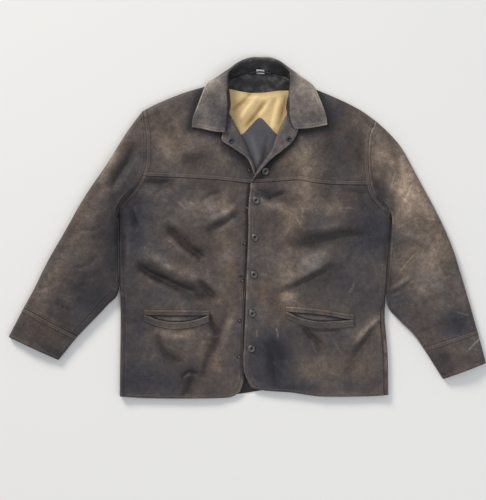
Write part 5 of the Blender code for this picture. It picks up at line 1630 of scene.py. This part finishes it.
fronts = {side: Front(side) for side in SIDES}
solids = {side: {part: front.grid(part) for part in ("body", "yoke")} for side, front in fronts.items()}
tops = {}
for side, front in fronts.items():
    grid, inward, counts = refined(*solids[side]["body"], STEP)
    kept = repeated(front.mouth_mask(*solids[side]["body"][0].shape[:2]), counts)
    kept = np.vstack([kept, np.ones((2, kept.shape[1]), bool)])
    grid, inward = tucked(grid, inward)
    # Painted shadow: the right front is drawn darker in the gap beside the left front's edge, which lies on
    # top.
    from_left = away_from(grid[..., :2], spaced(fronts["left"].front))
    gap_shadow = bell(from_left, GAP_WIDTH) if side == "right" else 0.0
    tops[side, "body"] = panel(
        f"{side}_front_hide", grid, inward, (0.37, 0.51), f"{side}_front", kept=kept, folds=front.folds,
        seams=[spaced(front.armhole, 4), spaced(front.side_line)], edges=[spaced(front.hem)],
        front_edge=spaced(front.front), shade=GAP_SHADE * gap_shadow,
    )
    grid, inward, counts = refined(*solids[side]["yoke"], STEP)
    calm = ease(away_from(grid[..., :2], spaced(front.roll)) / CALM)
    # Painted shadow: the yoke is drawn darker along the edges of the collar and the lapel, which shade it.
    collar_shadow = bell(away_from(grid[..., :2], COLLAR_EDGES[side]), COLLAR_SHADOW_WIDTH) * COLLAR_SHADOW_STRENGTH
    tops[side, "yoke"] = panel(
        f"{side}_yoke_hide", grid, inward, (0.34, 0.28), f"{side}_yoke", folds=front.folds, calm=calm,
        shade=collar_shadow, seams=[spaced(front.armhole, 4), spaced(front.yoke, 4)],
    )

# %% [markdown]
# ## Lapels
# A facing lies under each front edge and comes to the top where the lapel turns out. There
# its lower face is the one that shows, so it is that face that gets the relief.

# %% Facings that turn out as lapels
LAPEL_BULK, LAPEL_WAVES = 0.35, 0.3
# Less of the patches shows on the lapels than on the panels.
LAPEL_PAINT = 0.3
for side in SIDES:
    (body, body_in), (yoke, yoke_in) = solids[side]["body"], solids[side]["yoke"]
    grid, inward, counts = refined(*facing_grid(body, yoke, body_in, yoke_in), LAPEL_STEP)
    edge = nearest(grid[..., :2], [grid[:, -1, :2]])
    relief = LAPEL_BULK + LAPEL_WAVES * noise(grid[..., :2], 30, 21) + turned_edge(edge)
    lift = relief * facing_up(-inward)
    paint = leather_paint(grid, edge=edge)
    for key in ("light", "warm"):
        paint[key] = paint[key] * LAPEL_PAINT
    laid_sheet(f"{side}_lapel_hide", grid, inward, FACING, facing_leather, paint, "oiled nubuck",
               (0.12, 0.80), f"{side}_facing", raised=lift)
    tops[side, "lapel"] = grid + inward * (FACING + lift[..., None]), -inward

# %% Back
grid, inward, counts = refined(*back_grid(fronts), BACK_STEP)
# Painted shade: inside the gap of the fronts at the hem the back is drawn darker.
back_gap_shadow = HEM_GAP_SHADE * bell(np.linalg.norm(grid[..., :2] - HEM_GAP, axis=-1), HEM_GAP_WIDTH)
panel("back_hide", grid, inward, (0.68, 0.76), "back", raised=False, shade=back_gap_shadow,
      seams=[spaced(front.side_line) for front in fronts.values()])

# %% Sleeves and cuffs
# The gap at the cuff's seam, counted in stations, the cuff's rows, and the rows past the tucked ones.
CUFF_GAP = 0.006
CUFF_ROWS = 3
UNTUCKED = slice(4, None)
for side, front in fronts.items():
    sleeve = Sleeve(front)
    stations = np.linspace(0, Sleeve.SEAM_STATION - CUFF_GAP, Sleeve.ROWS + 1)
    for part, flat in (("top", (0.27, 0.52)), ("under", (0.24, 0.48))):
        grid, inward, counts = refined(*sleeve.ring(stations, part), STEP)
        last, first = grid[-1, :, :2], grid[0, :, :2]
        grid, inward = tucked(*tucked(grid, inward), last=False)
        tops[side, part] = panel(
            f"{side}_{part}_sleeve_hide", grid, inward, flat, f"{side}_{part}_sleeve",
            edges=[first, last, grid[UNTUCKED, 0, :2]] if part == "top" else [],
        )
    stations = np.linspace(Sleeve.SEAM_STATION, Sleeve.SEAM_STATION + 1, CUFF_ROWS + 1)
    grid, inward, counts = refined(*sleeve.ring(stations, "cuff"), CUFF_STEP, closed=True)
    tops[side, "cuff"] = panel(
        f"{side}_cuff_hide", grid, inward, (0.30, 0.09), f"{side}_cuff", closed=True,
        seams=[grid[0, :, :2]], edges=[grid[-1, :, :2]],
    )

# %% [markdown]
# ## Collar
# The leaf is two layers of hide with canvas between, so it is stiffer and smoother than the
# panels. Its edge and its points are the most handled part of the coat.

# %% Collar
LEAF_WAVES, LEAF_RIPPLES = 0.6, 0.25
# The columns, counted in the solid's own, up to which the stand's painted shade reaches:
# at the sides, how much further at the back of the neck, and over how many columns it fades.
STAND_END, STAND_RISE, STAND_FADE = 2.4, 1.7, 1.4
# The back of the neck, as a share of the collar's half length, and the share over which it fades.
BACK_END, BACK_FADE = 0.42, 0.2
CRUMPLE_SIZE, CRUMPLE_HEIGHT, CRUMPLE_HIGHLIGHT = 11, 1.5, 0.8
ROLL_REACH = 70

coarse = collar_grid()
grid, inward, counts = refined(coarse, inward_of(coarse, BELOW), LAPEL_STEP)
xy = grid[..., :2]
steps = np.linalg.norm(np.diff(grid, axis=1), axis=-1)
from_edge = np.hstack([np.cumsum(steps[:, ::-1], axis=1)[:, ::-1], np.zeros((len(grid), 1))])
ends = np.linalg.norm(np.diff(grid, axis=0), axis=-1)
from_start = np.vstack([np.zeros((1, grid.shape[1])), np.cumsum(ends, axis=0)])
leaf = np.minimum(from_edge, np.minimum(from_start, from_start[-1] - from_start))
lift = LEAF_WAVES * noise(xy, 40, 31) + LEAF_RIPPLES * noise(xy, 15, 32) + turned_edge(leaf)
# The stand, up to the roll, is crumpled at the back. It is painted much darker as painted shade inside the
# neck under the roll, and its crumples get a painted highlight on their ridges.
old_columns = np.append(np.repeat(np.arange(len(counts[1])), counts[1]), len(counts[1]))
rows_share = np.linspace(-1, 1, grid.shape[0])[:, None]
at_back = ease((BACK_END - np.abs(rows_share)) / BACK_FADE)
on_stand = 1 - ease((old_columns[None, :] - STAND_END - STAND_RISE * at_back) / STAND_FADE)
crumple = noise(xy @ GRID_TURN, CRUMPLE_SIZE, 36) * on_stand
lift += CRUMPLE_HEIGHT * at_back * crumple
outer = grid - inward * lift[..., None]
paint = leather_paint(outer, edge=np.minimum(leaf, FAR))
paint["warm"] = 0.25 * noise(xy, 60, 33)
roll_side = np.clip(from_edge / ROLL_REACH, 0, 1)
# Painted shade on the stand under the roll, and a painted highlight on the crumples' ridges.
paint["light"] = 0.5 * noise(xy, 42, 34) + 0.12 - 0.35 * roll_side - 1.1 * on_stand
paint["light"] += 0.25 * (grid[..., 0] > NECK_X) + CRUMPLE_HIGHLIGHT * crumple
paint["fold"] = np.zeros(grid.shape[:2])
laid_sheet("collar_hide", outer, inward, COLLAR_THICK, collar_leather, paint, "oiled nubuck",
           (0.62, 0.17), "collar")
tops["collar"] = outer, inward

# %% [markdown]
# ## Inside the neck
# Only what shows of the linings is here: the tan cotton of the yoke with its pointed lower
# seam, the darker lining below it, the neck facing, the hanger loop and a bare label. Cloth
# that hangs free in a neck lies in soft diagonal folds.

# %% Cloth folds
LINING_FOLDS = [
    ("first hollow", [(14, 316), (-8, 292), (-36, 268)], 5, -1.6),
    ("first fall", [(28, 304), (6, 278), (-16, 250)], 5.5, 2.4),
    ("second hollow", [(44, 294), (20, 262), (-8, 228)], 5, -1.8),
    ("second fall", [(56, 296), (40, 270), (26, 256)], 5, 1.6),
    ("right hollow", [(90, 308), (82, 270), (72, 232)], 5, -1.6),
    ("right fall", [(76, 300), (66, 262), (58, 226)], 6, 2.2),
    ("slack under the facing", [(-20, 303), (30, 296), (84, 305)], 6, 1.2),
    ("below the point", [(10, 214), (26, 160), (18, 120)], 6, 1.4),
    ("beside the point", [(46, 214), (38, 170), (30, 130)], 5, -1.2),
]


def smoothed(points, count):
    return Line(points)(np.linspace(0, 1, count))


def cloth(name, bottom, top, height, thickness, material, flat, node, slot, rows, columns):
    """A cloth that lies on the back between two lines, raised by the folds."""
    v = np.linspace(0, 1, rows + 1)[:, None, None]
    xy = smoothed(bottom, columns)[None] * (1 - v) + smoothed(top, columns)[None] * v
    fold = fold_height(LINING_FOLDS, xy)
    # A fold rises in full, while a hollow can't sink into the back and keeps less than a third.
    relief = np.maximum(fold, 0) + 0.3 * np.minimum(fold, 0)
    z = height + thickness + relief + 0.3 * (1 + noise(xy, 14, 41))
    zero = np.zeros(z.shape)
    # The fold value paints shade into the hollows and a highlight onto the folds.
    paint = {"fold": np.clip(fold / 2.0, -1, 1), "light": 0.55 * noise(xy @ GRID_TURN, 9, 42), "warm": zero,
             "scuff": zero, "seam": zero + FAR, "edge": nearest(xy, [xy[-1], xy[0]])}
    grid = np.dstack([xy, z])
    laid_sheet(name, grid, straight_down(grid), thickness, material, paint, slot, flat, node)


# %% Linings and neck facing
ON_BACK = LEATHER + SEAM
LINING_HEM = [(-78, 96), (-25, 96), (30, 96), (83, 96), (136, 96)]
LINING_SEAM = [(-78, 214), (-46, 214), (-13, 214), (8, 234), (30, 253), (51, 234), (72, 214),
               (104, 214), (136, 214)]
FACING_LOW = [(-58, 323), (-41, 320), (-13, 314), (8, 311), (30, 311), (51, 313), (72, 316), (95, 317),
              (116, 322)]
NECK_SEAM = [(-43, 338), (-25, 347), (-6, 352), (13, 354.5), (31, 355.2), (50, 354.5), (69, 352), (88, 347),
             (105, 338)]
ON_LINING = ON_BACK + 0.6
cloth("wool_lining", LINING_HEM, LINING_SEAM, ON_BACK, LINING, wool, (0.22, 0.15),
      "lining_body", "wool lining", rows=50, columns=80)
cloth("cotton_lining", LINING_SEAM, FACING_LOW, ON_BACK, LINING, cotton, (0.22, 0.12),
      "lining_yoke", "cotton yoke lining", rows=44, columns=90)
cloth("neck_leather", FACING_LOW, NECK_SEAM, ON_LINING, FACING, neck_leather, (0.17, 0.045),
      "neck_facing", "neck leather", rows=14, columns=80)


# %% [markdown]
# ## Small parts on the panels
# Welts, label and snaps lie on the panels, so each asks the finished panel where its surface
# is: a ray is cast straight down onto it.

# %% Where a panel's surface is
class Laid:
    """The faces of a grid, to lay smaller pieces on."""

    def __init__(self, grid):
        index = np.arange(grid.shape[0] * grid.shape[1]).reshape(grid.shape[:2])
        self.tree = BVHTree.FromPolygons(grid.reshape(-1, 3).tolist(), triangles(index).tolist())

    def at(self, x, y):
        place, normal, _, _ = self.tree.ray_cast(Vector((x, y, 500)), Vector((0, 0, -1)))
        if place is None:
            place, normal, _, _ = self.tree.find_nearest(Vector((x, y, 12)))
        return np.array(place), np.array(normal) * (1 if normal.z > 0 else -1)

    def laid(self, xy, lift):
        flat = xy.reshape(-1, xy.shape[-1])
        return np.array([self.at(*p)[0] + [0, 0, lift] for p in flat]).reshape(*xy.shape[:-1], 3)


surfaces = {(side, part): Laid(tops[side, part][0]) for side in SIDES for part in ("body", "yoke", "lapel")}
surfaces["collar"] = Laid(tops["collar"][0])

# %% Pocket welts and bags
WELT_COLUMNS, WELT_ROWS, BAG_ROWS = 56, 9, 24
WELT_BULGE = 0.9
BAG_SINK = 1.0
BAG_LIGHT, BAG_SHADE, LIP_WIDTH = 0.55, 1.3, 3.0
for side in SIDES:
    upper, lower = (Line(lip) for lip in POCKET_MOUTHS[side])
    u = np.linspace(0, 1, WELT_COLUMNS + 1)
    opened = (1 - (2 * u - 1) ** 8)[:, None]
    plain = Laid(refined(*solids[side]["body"], BACK_STEP)[0])
    steps = np.linspace(0, 1, WELT_ROWS + 1)
    for name, lip, way, depth in (("upper", upper, 1, WELT_DEPTH), ("lower", lower, -1, LOWER_WELT_DEPTH)):
        rows = []
        for step in steps:
            reach = depth * step - WELT_REACH * (1 - step) * opened
            out = np.maximum(reach, SEAM / 2 - WELT_REACH * opened)
            rows.append(lip(u) + np.hstack([0 * out, way * out]))
        xy = np.array(rows)
        grid = plain.laid(xy, WELT_LIFT)
        grid[..., 2] += WELT_BULGE * np.sin(math.pi * steps)[:, None] + 0.25 * noise(xy, 16, 51)
        paint = leather_paint(grid, edge=nearest(xy, [xy[0], xy[-1]]))
        laid_sheet(f"{side}_{name}_welt_hide", grid, straight_down(grid), LEATHER, nubuck, paint,
                   "oiled nubuck", (0.165, depth * MM + 0.002), f"pocket_{side}_{name}_welt")
    v = np.linspace(0, 1, BAG_ROWS + 1)[:, None, None]
    xy = (upper(u) + [0, BAG_ABOVE])[None] * (1 - v) + (lower(u) - [0, BAG_BELOW])[None] * v
    grid = plain.laid(xy, -LEATHER - BAG_SINK)
    grid[..., 2] += 0.4 * noise(xy, 18, 52)
    paint = leather_paint(grid)
    # Painted shade: the bag is drawn darker under the lips.
    paint["light"] = BAG_LIGHT - BAG_SHADE * bell(nearest(xy, [upper.dense, lower.dense]), LIP_WIDTH)
    paint["warm"] = np.zeros(xy.shape[:2])
    laid_sheet(f"{side}_pocket_bag_hide", grid, straight_down(grid), LINING, bag_leather, paint,
               "pocket leather", (0.16, 0.045), f"pocket_{side}_bag")

# %% Hanger loop and label
# The loop bows up from the collar between its ends: its length, its place, its width and its rises.
LOOP_LENGTH, LOOP_Y, LOOP_SAG = 50, 355, 3
LOOP_HALF, LOOP_TILT, LOOP_CROWN = 2, 0.8, 0.5
LOOP_LIFT, LOOP_RISE = 1.7, 2.6
LOOP_THICK, LABEL_THICK = 1.2, 0.6
LABEL_X, LABEL_Y, LABEL_SLANT = (22, 40), (354, 362.5), 0.06
LABEL_LIFT = SEAM + 3.4

turn = np.linspace(0, 1, 41)
arch = np.sin(math.pi * turn)
line = np.column_stack([NECK_X + LOOP_LENGTH * (turn - 0.5), LOOP_Y + LOOP_SAG * arch])
bow = surfaces["collar"].laid(line, 0) + np.outer(LOOP_LIFT + LOOP_RISE * arch, [0, 0, 1])
across = np.linspace(-1, 1, 7)[:, None, None]
crown = (1 - across**2) * np.array([0, 0, LOOP_CROWN])
grid = bow[None] + across * np.array([0, LOOP_HALF, LOOP_TILT]) + crown
laid_sheet("hanger_loop_hide", grid, straight_down(grid), LOOP_THICK, neck_leather, leather_paint(grid),
           "neck leather", (0.054, 0.010), "hanger_loop")

x, y = np.meshgrid(np.linspace(*LABEL_X, 19), np.linspace(*LABEL_Y, 13))
grid = surfaces["collar"].laid(np.dstack([x, y - LABEL_SLANT * (x - NECK_X)]), LABEL_LIFT)
laid_sheet("bare_label", grid, straight_down(grid), LABEL_THICK, satin, {"fold": np.zeros(grid.shape[:2])},
           "label satin", (0.018, 0.010), "label")

# %% [markdown]
# ## Snaps
# A snap is pressed from sheet metal between round dies, so a half profile spun about an axis
# is the whole shape: the cap is a ring round a sunk middle, the stud a low collar round a post.
# The two on the lapels are seen from the inside of the coat.

# %% Turned metal
CAP_SHAPE = [(0, 0.9), (2.2, 0.9), (2.6, 1.2), (2.9, 2.2), (3.4, 2.5), (4.6, 2.5), (5.6, 2.9),
             (7.0, 2.95), (8.0, 2.5),
             (8.7, 1.7), (9.0, 0.9), (8.8, 0.2), (8.2, 0.0), (0, 0)]
STUD_SHAPE = [(0, 2.1), (1.2, 2.1), (1.9, 1.8), (2.3, 1.1), (2.9, 0.9), (3.9, 1.0), (4.5, 0.7),
              (4.8, 0.2), (4.6, 0.0), (0, 0)]
RING_SHAPE = [(0, 0.3), (2.3, 0.3), (2.6, 0.9), (3.3, 1.3), (4.6, 1.35), (5.5, 1.0), (6.0, 0.3),
              (5.8, 0.0), (0, 0)]
TURN_STEPS = 40
SNAP_LIFT = 0.1
# A snap is lifted by this share of how high the leather stands below its rim, and presses the rest down.
RIM_SHARE = 0.6


def turned_piece(name, leather, place, shape, material, node):
    """A half profile spun about the leather's own normal, just clear of it."""
    reach = max(r for r, _ in shape)
    turns = 2 * math.pi * np.arange(TURN_STEPS) / TURN_STEPS
    hits = [leather.at(place[0] + reach * math.cos(t), place[1] + reach * math.sin(t)) for t in turns[::4]]
    normal = np.mean([n for _, n in hits], axis=0)
    normal /= np.linalg.norm(normal)
    base = leather.at(*place)[0]
    highest = max(0.0, max(float((p - base) @ normal) for p, _ in hits))
    base = base + normal * (highest * RIM_SHARE + SNAP_LIFT)
    side = np.cross([0.0, 1.0, 0.0], normal)
    side /= np.linalg.norm(side)
    along = np.cross(normal, side)
    rings = [
        base + r * (np.outer(np.cos(turns), side) + np.outer(np.sin(turns), along)) + z * normal
        for r, z in shape[1:-1]
    ]
    points = np.vstack([base + shape[0][1] * normal, *rings, base + shape[-1][1] * normal])
    k, n = np.arange(TURN_STEPS), TURN_STEPS
    after = (k + 1) % n
    faces = [np.stack([0 * k, 1 + k, 1 + after], -1)]
    for ring in range(len(rings) - 1):
        a, b = 1 + ring * n + k, 1 + ring * n + after
        faces += [np.stack([a, a + n, b + n], -1), np.stack([a, b + n, b], -1)]
    a = 1 + (len(rings) - 1) * n
    faces.append(np.stack([a + k, 0 * k + len(points) - 1, a + after], -1))
    piece = object_of(name, points, np.concatenate(faces), material)
    heights = np.repeat([z for _, z in shape[1:-1]], n)
    rim = np.concatenate([[0], np.clip(heights / max(z for _, z in shape), 0, 1) ** 2, [0]])
    attribute(piece.data, "rim", rim)
    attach(piece, "root")
    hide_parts(node)


LAPEL_SNAPS = {"left": (96, 203), "right": (-36, 199)}
SNAPS = {"left": ("cap", SNAP_CAPS, CAP_SHAPE), "right": ("stud", SNAP_STUDS, STUD_SHAPE)}
for side, (kind, places, shape) in SNAPS.items():
    for number, place in enumerate(places, 2):
        leather = surfaces[side, "yoke" if number == 2 else "body"]
        turned_piece(f"{kind}_{number}_metal", leather, place, shape, gunmetal, f"snap_{kind}_{number}")
for side, place in LAPEL_SNAPS.items():
    kind = SNAPS[side][0]
    leather = surfaces[side, "lapel"]
    turned_piece(f"{kind}_1_metal", leather, place, RING_SHAPE, socket_metal, f"snap_{kind}_1")

# %% Stitching
# Where the rows end, so that none runs under the piece beside it: cells left out at the ends of a
# panel, those of the collar's stand, and the height at which the shoulder turns over.
TUCKED_ROWS = slice(None, -2)
PAST_SIDE_SEAM = slice(8, None)
YOKE_SEAM_COLUMNS = slice(3, -8)
ON_LEAF = slice(20, None)
ABOVE_ARMPIT = 6
SHOULDER_COLUMN = 5
SHOULDER_Y = {"right": 262, "left": 240}
TURNED_OUT = -0.3
for side in SIDES:
    body, yoke, cuff, lapel = (tops[side, part] for part in ("body", "yoke", "cuff", "lapel"))
    arm_from = int(np.argmax(body[0][:, 0, 1] > fronts[side].armpit[1] + ABOVE_ARMPIT))
    shoulder = int(np.argmax(yoke[0][:, SHOULDER_COLUMN, 1] > SHOULDER_Y[side]))
    stitch_along(body, "last column", FRONT_ROW, rows=TUCKED_ROWS)
    stitch_along(body, "first row", EDGE_ROW, columns=PAST_SIDE_SEAM)
    for distance in STITCH_ROWS:
        stitch_along(yoke, "first row", distance, columns=YOKE_SEAM_COLUMNS)
        stitch_along(yoke, "first column", distance, rows=slice(None, shoulder))
        stitch_along(body, "first column", distance, rows=slice(arm_from, -2))
        stitch_along(cuff, "first row", distance)
    stitch_along(cuff, "last row", EDGE_ROW)
    shows = lapel[1][:, -1, 2] < TURNED_OUT
    if shows.any():
        stitch_along(lapel, "last column", EDGE_ROW, rows=shows)
stitch_along(tops["collar"], "last column", EDGE_ROW)
for end in ("first row", "last row"):
    stitch_along(tops["collar"], end, EDGE_ROW, columns=ON_LEAF)
stitch_piece = stitch_mesh("topstitching", thread_cord)

# %% [markdown]
# ## Floor, light and camera
# A garment is photographed from above under one large soft light from the upper left, with a
# pale surface all round that fills the shadows. The camera looks straight down.

# %% Floor
FLOOR_SIZE = 8
BELOW_COAT = 0.0002
bpy.ops.mesh.primitive_plane_add(size=FLOOR_SIZE, location=(0, 0, -BELOW_COAT))
floor = bpy.context.object
floor.name = "floor"
material, tree, place = new_material("pale_matt_floor")
surface(tree, {}, Base_Color=linear("#f0f0ee"), Roughness=0.9, IOR=1.3)
floor.data.materials.append(material)

# %% Light
VIEW_MIDDLE = Vector((-0.00997, -0.0509, 0.0))


def area_light(name, place, size, power, colour):
    """A round soft light that looks at the coat."""
    lamp = bpy.data.lights.new(name, "AREA")
    lamp.shape, lamp.size = "DISK", size
    lamp.energy, lamp.color = power, linear(colour)[:3]
    holder = bpy.data.objects.new(name, lamp)
    holder.location = place
    holder.rotation_euler = (VIEW_MIDDLE - Vector(place)).to_track_quat("-Z", "Y").to_euler()
    bpy.context.scene.collection.objects.link(holder)


area_light("key", place=(-3.4, 4.9, 3.2), size=2.3, power=335, colour="#fffaf4")
area_light("fill", place=(1.6, -1.8, 3.2), size=2.6, power=34, colour="#f4f7ff")
world = bpy.data.worlds.new("studio")
world.use_nodes = True
background = world.node_tree.nodes["Background"].inputs
background["Color"].default_value = linear("#f4f5f7")
background["Strength"].default_value = 0.5
bpy.context.scene.world = world

# %% Camera
bpy.context.scene.view_settings.view_transform = "Standard"
VIEW_HEIGHT = 1.150
DISTANCE = 3.5
SENSOR = 36.0
camera = bpy.data.cameras.new("camera")
camera.sensor_width = SENSOR
camera.lens = SENSOR * DISTANCE / VIEW_HEIGHT
holder = bpy.data.objects.new("camera", camera)
holder.location = VIEW_MIDDLE + Vector((0, 0, DISTANCE))
bpy.context.scene.collection.objects.link(holder)
bpy.context.scene.camera = holder
